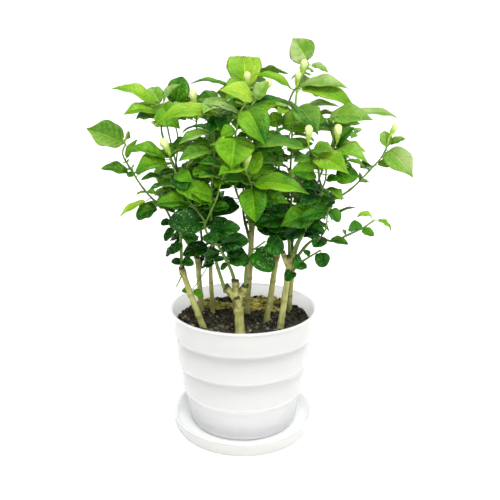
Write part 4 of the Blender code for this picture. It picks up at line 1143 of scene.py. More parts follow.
# Small growth that only the visual has: node, twig, its radius in mm, then leaves as tip, width, lean, tone and cast
sprigs = (
    ("shoot_bud_left", [(-33, 13, 177), (-36, 10, 173), (-42, 2, 165), (-48, -8, 158), (-51, -12, 155)], 0.55,
     (((-62, -16, 154), 7, 60, 0.3, "-"), ((-40, -18, 148), 8, 60, 0.35, "-"))),
    ("shoot_top_left", [(-58, -28, 180), (-61, -32, 173), (-65, -35, 165)], 0.8, ()),
    ("shoot_front", [(-30, -47, 218), (-31, -38, 219)], 0.6, (((-15, -36, 233), 17, 55, 0.04, "c"),)),
    ("shoot_centre", [(10, 4, 224), (13, -3, 221)], 0.6, (((33, -14, 213), 18, 60, 0.04, "-"),)),
    ("shoot_top_right", [(33, 8, 318), (41, 6, 323)], 0.6, (((23, 2, 318), 17, 60, 0.35, "w"),)),
    ("shoot_top_right", [(34, 8, 290), (40, 8, 293)], 0.6,
     (((29, 3, 289), 15, 55, 0.2, "-"), ((67, -4, 300), 16, 60, 0.35, "-"))),
    ("shoot_front", [(-6, -62, 318), (-6, -64, 321)], 0.6, (((-19, -68, 314), 13, 60, 0.35, "w"),)),
    ("shoot_right", [(99, -7, 323), (102, -3, 327)], 0.7, (((152, 8, 323), 13, 33, 0.6, "c"),)),
    ("shoot_back_mid_left", [(-34, 76, 318), (-27, 72, 330), (-22, 70, 337)], 0.6,
     (((-50, 71, 338), 16, 62, 0.3, "c"),)),
    ("shoot_far_right", [(133, -18, 294), (137, -14, 299)], 0.6, (((152, -17, 306), 10, 35, 0.45, "c"),)),
    ("shoot_front", [(-21, -43, 204), (-19, -37, 206)], 0.6, (((3, -39, 196), 14, 60, 0.03, "-"),)),
    ("shoot_centre_left", [(-3, -2, 245), (-12, -8, 248), (-19, -12, 249)], 0.6,
     (((-39, -21, 226), 18, 55, 0.02, "c"),)),
)


def addSprigs(heap, node, rng):
    for name, points, radius, blades in sprigs:
        if name == node:
            route = [at(p) for p in points]
            addStem(heap, route, [radius * mm, radius * mm * 0.7], 1.0, rng)
            for tip, width, lean, tone, cast in blades:
                leaf = (route[-1], at(tip), width * mm, leanUp(lean), 0, plainLeaf["arch"])
                addLeaf(heap, leaf, tone, cast, route, rng)


calyxForm = {
    "steps": (-0.7, -0.5, -0.25, 0.0, 0.2, 0.3),
    "radii": (0.8, 1.15, 1.55, 2.0, 2.25, 2.1),
    "stalkReach": 3.5 * mm,
    "stalkRadii": (0.75 * mm, 0.8 * mm),
    "lobes": 7,
    "lobeStray": 0.2,
    "lobeRise": 0.9 * mm,
    "lobeRing": 1.95 * mm,
    "lobeLength": (5.5 * mm, 9.0 * mm),
    "lobeRadius": 0.62 * mm,
    "lobeRadii": (1.1, 1.0, 0.85, 0.65, 0.4, 0.12),
    "spread": 0.20,
    "spreadShares": (0.2, 1.2),
}


def addCalyx(heap, foot, axis, rng):
    # the green cup under a bud, with narrow lobes that stand round it
    axis, side, beside = roundAxis(axis)
    steps = np.array(calyxForm["steps"]) * stemForm["calyxLength"]
    cup = [np.array(foot) + axis * step for step in steps]
    addGreenTube(heap, cup, np.array(calyxForm["radii"]) * mm, 12, 0.15, rng)
    radii = calyxForm["lobeRadius"] * np.array(calyxForm["lobeRadii"])
    share = np.linspace(0, 1, len(radii))
    for lobe in range(calyxForm["lobes"]):
        stray = rng.uniform(-calyxForm["lobeStray"], calyxForm["lobeStray"])
        turn = math.tau * (lobe + stray) / calyxForm["lobes"]
        out = side * math.cos(turn) + beside * math.sin(turn)
        reach = rng.uniform(*calyxForm["lobeLength"])
        start = np.array(foot) + axis * calyxForm["lobeRise"] + out * calyxForm["lobeRing"]
        bow = calyxForm["spread"] * rng.uniform(*calyxForm["spreadShares"])
        line = start + axis * (share * reach)[:, None] + out * (bow * reach * share**1.6)[:, None]
        addGreenTube(heap, line, radii, 6, 0.1, rng)


budForm = {
    "radius": 0.92 * stemForm["budRadius"],
    "slimmer": 1.15,
    "petals": 5,
    "wind": 2.1,
    "furrow": 0.2,
    "sides": 30,
    "rows": 26,
    "outline": ((0, 0.46), (0.1, 0.58), (0.22, 0.74), (0.36, 0.90), (0.5, 0.98), (0.62, 1.0), (0.74, 0.95),
                (0.84, 0.82), (0.92, 0.62), (0.97, 0.38), (1, 0.06)),
}


def addBud(heap, foot, axis, length, rng):
    # a closed bud: a slim tube, then the furled petals wound round each other up to the point
    seat = stemForm["calyxLength"] * stemForm["calyxAbove"]
    span = length - seat
    radius = budForm["radius"] * min(1, span / stemForm["budLength"] * budForm["slimmer"])
    axis, side, beside = roundAxis(axis)
    w = np.linspace(0, 1, budForm["rows"])
    outline = np.interp(w, *zip(*budForm["outline"]))
    angles = np.arange(budForm["sides"]) / budForm["sides"] * math.tau
    first = rng.uniform(0, math.tau)
    rings = []
    blade = np.zeros((len(w), budForm["sides"], 3))
    for i, share in enumerate(w):
        phase = np.mod((angles + first + budForm["wind"] * share) * budForm["petals"] / math.tau, 1)
        lap = budForm["furrow"] * smoothStep(0.15, 0.5, share) * (phase**0.7 - 0.62 - 0.55 * smoothStep(0.9, 1, phase))
        wide = radius * outline[i] * (1 + lap)
        centre = np.array(foot) + axis * (seat + span * share)
        rings.append(centre + circle(angles, side, beside) * wide[:, None])
        blade[i, :, 0] = phase
        blade[i, :, 1] = share
    heap.loft(np.array(rings), blade, (rng.uniform(0, 1), rng.uniform(0, 1), 0.2))


caneLook = {
    "seed": 40,
    "sides": 18,
    "rowSpacing": 1.4 * mm,
    "ringSpacing": 24 * mm,
    "ringSwell": 0.11,
    "ringWidth": 2.6 * mm,
    "neck": 0.05,
    "neckFrom": 4 * mm,
    "neckWidth": 1.2 * mm,
    "flare": 0.12,
    "flareWidth": 5 * mm,
    "knot": 0.17,
    "knotFrom": 3 * mm,
    "knotWidth": 4.5 * mm,
    "ridges": ((3, 0.035, 28), (-7, -0.022, -60)),
    "lumps": 0.11,
    "topSlant": 0.35,
    "rim": (0.86, 0.35 * mm),
    "cut": (0.5, 0.1 * mm),
    "cutFade": (0.25, 0.6, 0.9, 1, 1),
    "knottyReach": 14 * mm,
    "scarWidth": 2.2 * mm,
    "topScar": 9 * mm,
}


def addCaneTube(heap, points, radii, rng, lowest):
    # bark with ridges along it, rings at the nodes and a pruned top with a paler cut
    look = caneLook
    line = smoothRoute(points, look["rowSpacing"])
    total = routeLength(line)
    shares = np.linspace(0, 1, len(line))
    base = np.interp(shares, [0, 1], [radii[0], radii[-1]])
    first = rng.uniform(0, 20) * mm
    seedA, seedB = rng.uniform(0, math.tau), rng.uniform(0, 9)
    length = shares * total
    gap = np.abs(np.mod((length + first) / look["ringSpacing"] + 0.5, 1) - 0.5) * look["ringSpacing"]
    swell = 1 + look["ringSwell"] * np.exp(-((gap / look["ringWidth"]) ** 2))
    swell -= look["neck"] * np.exp(-(((gap - look["neckFrom"]) / look["neckWidth"]) ** 2))
    if lowest:
        swell *= 1 + look["flare"] * np.exp(-(((length - caneForm["depth"]) / look["flareWidth"]) ** 2))
    swell *= 1 + look["knot"] * np.exp(-(((total - length - look["knotFrom"]) / look["knotWidth"]) ** 2))
    widths = base * swell

    def ripple(angles, s):
        ridges = sum(high * np.sin(count * angles + seedA + s * wind) for count, high, wind in look["ridges"])
        spots = [Vector((math.cos(a) * 1.5 + seedB, math.sin(a) * 1.5, s * 220)) for a in angles]
        return 1 + ridges + look["lumps"] * np.array([noise.noise(spot) for spot in spots])

    rings, length = tubeRings(line, widths, look["sides"], ripple)
    # the top is cut a little askew, with a softened rim and a shallow dip in the middle
    run = normal(rings[-1].mean(0) - rings[-2].mean(0))
    centre = rings[-1].mean(0)
    lean = normal(np.cross(run, (math.cos(seedA), math.sin(seedA), 0.2)))
    rings[-1] += ((rings[-1] - centre) @ lean)[:, None] * look["topSlant"] * run
    rim, cut = (centre + (rings[-1] - centre) * size + run * rise for size, rise in (look["rim"], look["cut"]))
    rings = np.concatenate([rings, rim[None], cut[None]])
    blade = np.zeros(rings.shape)
    blade[:, :, 0] = 1
    blade[:len(length), :, 0] = np.exp(-(((total - length) / look["knottyReach"]) ** 4))[:, None]
    nearNode = np.exp(-((gap / look["scarWidth"]) ** 2))
    nearNode = np.maximum(nearNode, 0.9 * np.exp(-(((total - length) / look["topScar"]) ** 2)))
    blade[:len(length), :, 1] = nearNode[:, None]
    blade[-5:, :, 2] = np.array(look["cutFade"])[:, None]
    kind = np.zeros(rings.shape)
    kind[..., 0] = np.linspace(0, 1, len(rings))[:, None]
    kind[..., 1] = rng.uniform(0, 1)
    heap.loft(rings, blade, kind.reshape(-1, 3))


potForm = {
    "rimRadius": 75 * mm,
    "height": 133 * mm,
    "footRadius": 54 * mm,
    "wall": 2.2 * mm,
    "base": 8.3 * mm,
    "floor": 3 * mm,
    "lip": 3.2 * mm,
    "bandEdges": (107.5 * mm, 76.5 * mm, 45.5 * mm),
    "bandRadii": (71.9 * mm, 68.4 * mm, 63.6 * mm),
    "step": 1.9 * mm,
    "innerWall": ((68.3 * mm, 103 * mm), (64.2 * mm, 72 * mm), (58.9 * mm, 40 * mm)),
    "steps": 104,
    "tint": (0.555, 0.555, 0.545),
    # painted light: lighter low down and inside
    "paintedFootLight": (0.88, 0.88, 0.87),
    "paintedInsideLight": (0.98, 0.98, 0.93),
    "softReach": 0.013,
}

saucerForm = {
    "rimRadius": 74 * mm,
    "footRadius": 69 * mm,
    "height": 17.5 * mm,
    "floor": 8 * mm,
    "wall": 2 * mm,
    "steps": 104,
    "tint": (0.515, 0.515, 0.50),
    "paintedFootLight": (0.515, 0.515, 0.50),
    # painted light: lighter inside
    "paintedInsideLight": (0.72, 0.735, 0.735),
    "softReach": 0.007,
}


# A turned piece starts and ends at this radius, where the loft's end faces close it
coreRadius = 2 * mm


def lathe(heap, profile, steps):
    # turned from (radius, height) points, up the outer side and then down the inner one, which "kind" marks
    profile = np.array(profile)
    kind = np.zeros((len(profile), steps, 3))
    kind[profile[:, 1].argmax() + 2:, :, 0] = 1
    kind[..., 1] = profile[:, 1:] / profile[:, 1].max()
    angles = np.arange(steps) / steps * math.tau
    rings = np.zeros((len(profile), steps, 3))
    rings[..., 0] = profile[:, :1] * np.cos(angles)
    rings[..., 1] = profile[:, :1] * np.sin(angles)
    rings[..., 2] = profile[:, 1:]
    heap.loft(rings, np.zeros(3), kind.reshape(-1, 3))


def rounded(profile, size):
    # the profile with each corner eased over a distance
    points = [Vector((*p, 0)) for p in profile]
    eased = [points[0]]
    for a, b, c in zip(points, points[1:], points[2:]):
        near = min(size, (a - b).length * 0.45, (c - b).length * 0.45)
        start, end = b + (a - b).normalized() * near, b + (c - b).normalized() * near
        for t in (0, 0.25, 0.5, 0.75, 1):
            eased.append(start.lerp(b, t).lerp(b.lerp(end, t), t))
    eased.append(points[-1])
    return [(p.x, p.y) for p in eased]


def potProfile():
    form = potForm
    rim, foot, top, base = (form[k] for k in ("rimRadius", "footRadius", "height", "base"))
    underLip, floor, inner = top - form["lip"], base + form["floor"], rim - form["wall"]
    edges = (underLip, *form["bandEdges"], base + 3 * mm)
    radii = (rim - 1.5 * mm, *form["bandRadii"], foot + 2.2 * mm)
    bands = []
    for i in range(4):
        dip = form["step"] if i else 0
        for t in np.linspace(0, 1, 13)[:-1]:
            # just under its upper edge a band is drawn in
            radius = radii[i] + (radii[i + 1] - radii[i]) * t - dip * 5 * t * math.exp(1 - 5 * t)
            bands.append((radius, edges[i] + (edges[i + 1] - edges[i]) * t))
    return rounded([
        (coreRadius, base), (foot - 2 * mm, base), (foot + 0.9 * mm, base + 0.9 * mm), *bands[::-1],
        (rim - 1.5 * mm, underLip + 0.2 * mm), (rim, underLip + 0.5 * mm), (rim, top - 0.7 * mm),
        (rim - 1.1 * mm, top), (inner, top - 0.8 * mm), (inner - 0.9 * mm, top - 5 * mm), *form["innerWall"],
        (foot + 1.4 * mm, floor + 3 * mm), (foot - 1 * mm, floor), (coreRadius, floor),
    ], 0.9 * mm)


def saucerProfile():
    form = saucerForm
    rim, foot, top, floor, wall = (form[k] for k in ("rimRadius", "footRadius", "height", "floor", "wall"))
    return rounded([
        (coreRadius, 0.6 * mm), (foot - 4 * mm, 0.6 * mm), (foot - 2.5 * mm, 0), (foot, 0), (foot + 1.4 * mm, 0.7 * mm),
        (foot + 2.7 * mm, 6 * mm), (rim - 1.2 * mm, top - 4.2 * mm), (rim, top - 3 * mm), (rim, top - 0.7 * mm),
        (rim - 0.9 * mm, top), (rim - wall, top - 0.6 * mm), (rim - wall - 0.9 * mm, top - 2.4 * mm),
        (foot + 0.4 * mm, floor + 2.2 * mm), (foot - 1.6 * mm, floor + 0.3 * mm), (foot - 5 * mm, floor),
        (48 * mm, floor), (46.5 * mm, floor + 0.5 * mm), (45 * mm, floor), (coreRadius, floor),
    ], 1.0 * mm)


soilForm = {
    "seed": 5,
    "side": ((coreRadius, 6.9 * mm), (51.6 * mm, 6.9 * mm), (54.2 * mm, 10.9 * mm), (58.0 * mm, 40 * mm),
             (63.3 * mm, 72 * mm), (67.4 * mm, 103 * mm)),
    "top": 118 * mm,
    "lumps": 1.4 * mm,
    "coarseGrain": 1.1 * mm,
    "fineGrain": 0.6 * mm,
    "mossRise": 3.2 * mm,
    "edgeRadius": 69.0 * mm,
    "rings": 46,
    "steps": 150,
    "clods": 620,
    "clodSize": (0.8, 2.3),
    "stretch": ((0.7, 1.3), (0.7, 1.2), (0.5, 0.9)),
    "chips": 90,
    "chipSize": (1.4, 2.6),
    "chipStretch": (1.5, 0.6, 0.35),
    "strands": 300,
    "strandLength": (3, 8),
    "strandLift": (0.4, 2.4),
    "strandBend": (-1.4, 1.4),
    "strandRadii": (0.16, 0.24, 0.26, 0.22, 0.1),
    "mossAt": ((28, 50, 22, 13), (6, 34, 17, 13), (-22, 32, 18, 12), (-44, 42, 17, 11), (30, 24, 12, 9)),
}


def soilHeight(x, y):
    lumps = math.sin(x * 160 + 1.1) * math.cos(y * 130) + 0.6 * math.sin(x * 310 - y * 270) + 0.4 * math.cos(y * 420)
    return soilForm["top"] + soilForm["lumps"] * lumps + soilForm["mossRise"] * mossiness(x, y)


def grain(x, y):
    spot = Vector((x, y, 0))
    coarse, fine = noise.fractal(spot * 130, 0.9, 2.1, 3), abs(noise.noise(spot * 520))
    return soilForm["coarseGrain"] * coarse + soilForm["fineGrain"] * fine


def mossiness(x, y):
    most = 0
    for cx, cy, rx, ry in soilForm["mossAt"]:
        far = ((x / mm - cx) / rx) ** 2 + ((y / mm - cy) / ry) ** 2
        most = max(most, math.exp(-far))
    return most


def addPeat(heap):
    form = soilForm
    side = [*form["side"], (form["edgeRadius"] - 0.3 * mm, form["top"] - 3 * mm)]
    radii = np.linspace(1, 0, form["rings"]) ** 0.9 * form["edgeRadius"]
    radii[-1] = 0.4 * mm
    profile = side + [(r, form["top"]) for r in radii]
    angles = np.arange(form["steps"]) / form["steps"] * math.tau
    rings = np.zeros((len(profile), form["steps"], 3))
    kind = np.zeros(rings.shape)
    for i, (radius, height) in enumerate(profile):
        for k, angle in enumerate(angles):
            x, y = radius * math.cos(angle), radius * math.sin(angle)
            z = height
            if i >= len(side):
                z = soilHeight(x, y) + grain(x, y) - form["fineGrain"]
                kind[i, k] = (mossiness(x, y), 0.5, 0)
            rings[i, k] = (x, y, z)
    heap.loft(rings, np.zeros(3), kind.reshape(-1, 3))


def addClods(heap, rng):
    # crumbs of peat, then flat chips of bark
    form = soilForm
    lump, faces = clodShape()
    for i in range(form["clods"] + form["chips"]):
        x, y = spotOnSoil(rng)
        chip = i >= form["clods"]
        size = rng.uniform(*form["chipSize" if chip else "clodSize"]) * mm
        scale = np.array([rng.uniform(*reach) for reach in form["stretch"]]) * size
        if chip:
            scale *= form["chipStretch"]
        bumps = np.array([1 + 0.35 * noise.noise(Vector(p) * 1.7 + Vector((i, 0, 0))) for p in lump])
        points = turned(lump * bumps[:, None] * scale, rng)
        points += (x, y, soilHeight(x, y) + grain(x, y) + size * 0.15)
        heap.add(points, [faces], np.zeros(3), (min(mossiness(x, y), 0.6), rng.uniform(0, 1), 1.0 if chip else 0.5))


def addMoss(heap, rng):
    # bent threads round the middle of each mossy place
    form = soilForm
    for i in range(form["strands"]):
        cx, cy, rx, ry = form["mossAt"][i % len(form["mossAt"])]
        x, y = (cx + rng.gauss(0, rx * 0.55)) * mm, (cy + rng.gauss(0, ry * 0.55)) * mm
        if math.hypot(x, y) > form["edgeRadius"] - 3 * mm:
            continue
        heading, span = rng.uniform(0, math.tau), rng.uniform(*form["strandLength"]) * mm
        lift = rng.uniform(*form["strandLift"]) * mm
        bend = rng.uniform(*form["strandBend"])
        line = []
        for share in (0, 0.25, 0.5, 0.75, 1):
            far = span * (share - 0.5)
            turn = heading + bend * share
            px, py = x + far * math.cos(turn), y + far * math.sin(turn)
            line.append((px, py, soilHeight(px, py) + 0.4 * mm + lift * math.sin(math.pi * share)))
        rings, _ = tubeRings(line, np.array(form["strandRadii"]) * mm, 5)
        heap.loft(rings, np.zeros(3), (1, rng.uniform(0, 1), 0.8))


def clodShape():
    # the twelve corners of an icosahedron, split once
    g = (1 + 5 ** 0.5) / 2
    corners = [Vector(p).normalized() for p in (
        (-1, g, 0), (1, g, 0), (-1, -g, 0), (1, -g, 0), (0, -1, g), (0, 1, g), (0, -1, -g), (0, 1, -g),
        (g, 0, -1), (g, 0, 1), (-g, 0, -1), (-g, 0, 1))]
    faces = [(0, 11, 5), (0, 5, 1), (0, 1, 7), (0, 7, 10), (0, 10, 11), (1, 5, 9), (5, 11, 4), (11, 10, 2), (10, 7, 6),
             (7, 1, 8), (3, 9, 4), (3, 4, 2), (3, 2, 6), (3, 6, 8), (3, 8, 9), (4, 9, 5), (2, 4, 11), (6, 2, 10),
             (8, 6, 7), (9, 8, 1)]
    paintedFoldShade = {}

    def half(a, b):
        key = (min(a, b), max(a, b))
        if key not in paintedFoldShade:
            paintedFoldShade[key] = len(corners)
            corners.append(((corners[a] + corners[b]) / 2).normalized())
        return paintedFoldShade[key]

    fine = []
    for a, b, c in faces:
        ab, bc, ca = half(a, b), half(b, c), half(c, a)
        fine += [(a, ab, ca), (b, bc, ab), (c, ca, bc), (ab, bc, ca)]
    return np.array([tuple(p) for p in corners]), np.array(fine)


def turned(points, rng):
    a, b = rng.uniform(0, math.tau), rng.uniform(-0.5, 0.5)
    flat = np.array([[math.cos(a), -math.sin(a), 0], [math.sin(a), math.cos(a), 0], [0, 0, 1]])
    tip = np.array([[1, 0, 0], [0, math.cos(b), -math.sin(b)], [0, math.sin(b), math.cos(b)]])
    return points @ tip.T @ flat.T


def spotOnSoil(rng):
    radius = (soilForm["edgeRadius"] - 2.5 * mm) * rng.uniform(0, 1) ** 0.5
    angle = rng.uniform(0, math.tau)
    return radius * math.cos(angle), radius * math.sin(angle)


class Wire:
    # a node's output: + - * ** and abs() of it make math nodes

    def __init__(self, paint, socket):
        self.paint = paint
        self.socket = socket

    def __add__(self, other):
        return self.paint.calc("ADD", self, other)

    def __mul__(self, other):
        return self.paint.calc("MULTIPLY", self, other)

    def __sub__(self, other):
        return self.paint.calc("SUBTRACT", self, other)

    def __rsub__(self, other):
        return self.paint.calc("SUBTRACT", other, self)

    def __pow__(self, other):
        return self.paint.calc("POWER", self, other)

    def __abs__(self):
        return self.paint.calc("ABSOLUTE", self)

    def clamped(self):
        self.socket.node.use_clamp = True
        return self


socketNames = {
    "colour": "Base Color",
    "rough": "Roughness",
    "gloss": "Specular IOR Level",
    "glossTint": "Specular Tint",
    "soft": "Subsurface Weight",
    "softReach": "Subsurface Scale",
}


class Paint:
    # the nodes of a material, or of a world, written as short calls

    def __init__(self, name, kept=bpy.data.materials, shader="Principled BSDF"):
        self.material = kept.new(name)
        self.material.use_nodes = True
        self.tree = self.material.node_tree
        self.shader = self.tree.nodes[shader]

    def node(self, kind, inputs, output=0, **settings):
        made = self.tree.nodes.new(kind)
        for key, value in settings.items():
            setattr(made, key, value)
        for key, value in inputs.items():
            self.put(made.inputs[key], value)
        return Wire(self, made.outputs[output])

    def put(self, socket, value):
        if isinstance(value, Wire):
            self.tree.links.new(value.socket, socket)
        elif isinstance(value, tuple) and len(value) == 3 and socket.type == "RGBA":
            socket.default_value = (*value, 1)
        else:
            socket.default_value = value

    def calc(self, operation, a, b=0.0):
        return self.node("ShaderNodeMath", {0: a, 1: b}, operation=operation)

    def step(self, value, low, high, start=0.0, end=1.0):
        inputs = {"Value": value, "From Min": low, "From Max": high, "To Min": start, "To Max": end}
        return self.node("ShaderNodeMapRange", inputs, interpolation_type="SMOOTHSTEP")

    def split(self, vector):
        made = self.node("ShaderNodeSeparateXYZ", {0: vector})
        return [Wire(self, output) for output in made.socket.node.outputs]

    def parts(self, layer):
        return self.split(self.node("ShaderNodeAttribute", {}, "Vector", attribute_name=layer))

    def mapped(self, stretch):
        place = self.node("ShaderNodeTexCoord", {}, "Object")
        return self.node("ShaderNodeMapping", {"Vector": place, "Scale": stretch})

    def noise(self, scale, detail=3.0, roughness=0.55, stretch=(1, 1, 1)):
        inputs = {"Vector": self.mapped(stretch), "Scale": scale, "Detail": detail, "Roughness": roughness}
        return self.node("ShaderNodeTexNoise", inputs, "Fac")

    def cells(self, scale, stretch=(1, 1, 1)):
        inputs = {"Vector": self.mapped(stretch), "Scale": scale}
        return self.node("ShaderNodeTexVoronoi", inputs, "Distance")

    def ramp(self, factor, stops):
        made = self.node("ShaderNodeValToRGB", {0: factor})
        elements = made.socket.node.color_ramp.elements
        while len(elements) < len(stops):
            elements.new(0.5)
        for element, (place, colour) in zip(elements, stops):
            element.position = place
            element.color = (*colour, 1)
        return made

    def mix(self, factor, a, b, blend="MIX"):
        return self.node("ShaderNodeMix", {0: factor, 6: a, 7: b}, 2, data_type="RGBA", blend_type=blend)

    def tinted(self, colour, tint, share=1.0):
        return self.mix(share, colour, tint, "MULTIPLY")

    def bump(self, height, strength, distance):
        inputs = {"Height": height, "Strength": strength, "Distance": distance}
        self.put(self.shader.inputs["Normal"], self.node("ShaderNodeBump", inputs))

    def set(self, **sockets):
        for key, value in sockets.items():
            self.put(self.shader.inputs[socketNames[key]], value)


leafPaint = {
    "greens": ((0.0, (0.002, 0.032, 0.002)), (0.22, (0.013, 0.112, 0.002)), (0.5, (0.115, 0.320, 0.008)),
               (0.75, (0.290, 0.490, 0.060)), (1.0, (0.470, 0.660, 0.190))),
    "warm": (1.18, 1.0, 0.72),
    "cool": (1.10, 0.88, 2.8),
    "veinTint": (1.75, 1.45, 1.5),
    "veinShare": 0.32,
    "midribTint": (2.2, 1.7, 2.0),
    "midrib": (0.45, 0.65, 0.18),
    "midribShare": 0.45,
    "underside": (0.20, 0.36, 0.11),
    "undersideShare": 0.45,
    "stalk": (0.16, 0.29, 0.05),
    "gloss": 0.24,
    "glossTint": (0.55, 1.0, 0.40),
    "rough": 0.20,
}


def paintLeaf():
    # mottled green with a paler midrib and side veins, and painted shade that makes one half of each blade a little
    # darker than the other
    paint = Paint("jasmineLeaf")
    across, lengthwise, under = paint.parts("blade")
    tone, seed, veinCount = paint.parts("kind")
    edge = abs(across)
    shift = edge * fineLeaf["veinSlant"] + edge**2.0 * fineLeaf["veinBend"]
    phase = (lengthwise - shift) * (veinCount * 10.0) + (paint.noise(260.0, 2.0) - 0.5) * 0.16
    wave = abs(paint.calc("SINE", phase * math.pi))
    fade = paint.step(edge, 0.95, 0.55) * paint.step(lengthwise, 1.0, 0.8)
    sideVein = (1.0 - paint.step(wave, 0.0, 0.34)) * fade
    midrib = paint.step(edge, 0.075, 0.02) * paint.step(lengthwise, 1.05, 0.3)

    mottle = paint.noise(95.0, 4.0, 0.6)
    patch = paint.noise(34.0, 2.0)
    # painted shade: one side of the midrib darker, as the lit fold would show it
    paintedFoldShade = (paint.step(across, -0.05, 0.05) - 0.5) * (seed - 0.5)
    shade = tone + (mottle - 0.5) * 0.30 + (patch - 0.5) * 0.50 + paint.step(edge, 0.7, 1.0) * 0.06
    shade = (shade + paintedFoldShade * 0.25 + sideVein * 0.03).clamped()
    colour = paint.ramp(shade, leafPaint["greens"])
    colour = paint.tinted(colour, leafPaint["warm"], paint.step(seed, 0.35, 1.0))
    colour = paint.tinted(colour, leafPaint["cool"], paint.step(seed, 0.45, 0.05))
    colour = paint.tinted(colour, leafPaint["veinTint"], sideVein * leafPaint["veinShare"])
    bright = paint.mix(tone * 0.6, paint.tinted(colour, leafPaint["midribTint"]), leafPaint["midrib"])
    colour = paint.mix(midrib * leafPaint["midribShare"], colour, bright)
    colour = paint.mix(under, colour, paint.mix(leafPaint["undersideShare"], colour, leafPaint["underside"]))
    colour = paint.mix(paint.step(lengthwise, 0.0, -0.04), colour, leafPaint["stalk"])
    rough = mottle * 0.16 + leafPaint["rough"] + under * 0.22
    paint.set(colour=colour, rough=rough, gloss=leafPaint["gloss"], glossTint=leafPaint["glossTint"],
              soft=0.12, softReach=0.0012)
    pores = paint.noise(900.0, 2.0)
    paint.bump(pores * 0.10 - sideVein * 0.55 - midrib * 0.5 + mottle * 0.35, 0.7, 0.0005)
    return paint.material


def paintStem():
    # yellow-green when young, darker and flecked below
    paint = Paint("greenStem")
    lengthwise = paint.parts("blade")[1]
    age = paint.parts("kind")[0]
    flecks = paint.noise(500.0)
    streaks = paint.noise(300.0, 3.0, 0.6, (1, 1, 0.15))
    shade = (age - lengthwise * 0.45 + (streaks - 0.5) * 0.6).clamped()
    colour = paint.ramp(shade, ((0.0, (0.36, 0.56, 0.07)), (0.3, (0.17, 0.33, 0.028)), (0.65, (0.080, 0.170, 0.016)),
                                (1.0, (0.105, 0.165, 0.024))))
    colour = paint.tinted(colour, (0.55, 0.5, 0.45), paint.step(flecks, 0.55, 0.75) * 0.7)
    paint.set(colour=colour, rough=streaks * 0.2 + 0.45, gloss=0.35)
    paint.bump(streaks, 0.5, 0.0004)
    return paint.material


def paintBark():
    # pale streaked bark, dark at the rings, gnarled near the top, with a dark cut
    paint = Paint("caneBark")
    nearTop, nearNode, cut = paint.parts("blade")
    height, seed, _ = paint.parts("kind")
    streaks = paint.noise(260.0, 4.0, 0.65, (1, 1, 0.12))
    blotch = paint.noise(75.0, 3.0, 0.6)
    dots = paint.cells(420.0, (1, 1, 0.6))
    shade = (streaks * 0.75 + blotch * 0.45 - 0.12 + seed * 0.12).clamped()
    colour = paint.ramp(shade, ((0.0, (0.040, 0.040, 0.009)), (0.30, (0.120, 0.125, 0.024)),
                                (0.46, (0.29, 0.30, 0.080)), (0.66, (0.46, 0.46, 0.19)), (0.88, (0.67, 0.66, 0.38))))
    green = paint.mix(0.5, colour, (0.20, 0.29, 0.035))
    colour = paint.mix(paint.step(blotch, 0.45, 0.7) * paint.step(height, 0.25, 0.9), colour, green)
    dark = paint.tinted(colour, (0.52, 0.47, 0.40))
    scar = paint.step(nearNode, 0.35, 0.95) * paint.step(streaks, 0.35, 0.6)
    colour = paint.mix(scar * 0.75, colour, dark)
    knotty = nearTop * paint.step(paint.noise(190.0, 4.0, 0.65), 0.42, 0.56)
    colour = paint.tinted(colour, (0.34, 0.29, 0.19), knotty * 0.85)
    colour = paint.mix(paint.step(dots, 0.22, 0.05) * 0.35, colour, (0.50, 0.46, 0.28))
    colour = paint.mix(paint.step(height, 0.30, 0.12) * 0.6, colour, dark)
    wood = paint.ramp(paint.noise(900.0), ((0.35, (0.006, 0.005, 0.002)), (0.7, (0.07, 0.055, 0.018))))
    colour = paint.mix(paint.step(cut + blotch * 0.4, 0.5, 0.8), colour, wood)
    paint.set(colour=colour, rough=streaks * 0.25 + 0.58, gloss=0.3)
    paint.bump(streaks + dots * 0.5, 0.7, 0.0007)
    return paint.material


def paintBud():
    # green at the foot, cream above, with a greener line where a petal laps over the next
    paint = Paint("jasmineBud")
    lap, lengthwise, _ = paint.parts("blade")
    fine = paint.noise(420.0, 3.0, 0.6, (1, 1, 0.4))
    shade = (lengthwise + (fine - 0.5) * 0.25).clamped()
    colour = paint.ramp(shade, ((0.0, (0.24, 0.46, 0.03)), (0.2, (0.38, 0.56, 0.08)), (0.4, (0.56, 0.64, 0.24)),
                                (0.8, (0.64, 0.69, 0.34)), (1.0, (0.46, 0.60, 0.18))))
    seam = paint.step(lap, 0.12, 0.0) * paint.step(lengthwise, 0.15, 0.4)
    colour = paint.mix(seam * 0.6, colour, (0.36, 0.50, 0.12))
    paint.set(colour=colour, rough=fine * 0.15 + 0.42, gloss=0.3, soft=0.15, softReach=0.002)
    paint.bump(fine, 0.25, 0.0003)
    return paint.material


def paintSoil():
    # dark peat, pale crumbs and chips, orange-brown to yellow moss where "kind" says so
    paint = Paint("pottingSoil")
    moss, seed, chip = paint.parts("kind")
    crumbs = paint.noise(420.0, 5.0, 0.7)
    patches = paint.noise(60.0, 3.0, 0.6)
    shade = (crumbs * 0.8 + patches * 0.4 - 0.44 + seed * 0.54).clamped()
    colour = paint.ramp(shade, ((0.0, (0.004, 0.004, 0.002)), (0.34, (0.016, 0.015, 0.009)),
                                (0.54, (0.060, 0.056, 0.036)), (0.72, (0.22, 0.205, 0.15)), (0.92, (0.62, 0.59, 0.46))))
    fibre = crumbs * 0.75 + seed * 0.35 + (paint.noise(110.0) - 0.5) * 0.7
    fibre = paint.ramp(fibre, ((0.28, (0.05, 0.036, 0.004)), (0.45, (0.32, 0.23, 0.032)), (0.60, (0.64, 0.58, 0.15)),
                               (0.86, (1.0, 1.0, 0.55))))
    colour = paint.mix(paint.step(moss + (patches - 0.5) * 0.8, 0.30, 0.65), colour, fibre)
    colour = paint.tinted(colour, (2.6, 2.0, 1.4), paint.step(chip, 0.85, 0.95))
    paint.set(colour=colour, rough=crumbs * 0.2 + 0.78, gloss=0.25)
    paint.bump(crumbs + paint.cells(330.0) * -0.6, 0.8, 0.0012)
    return paint.material


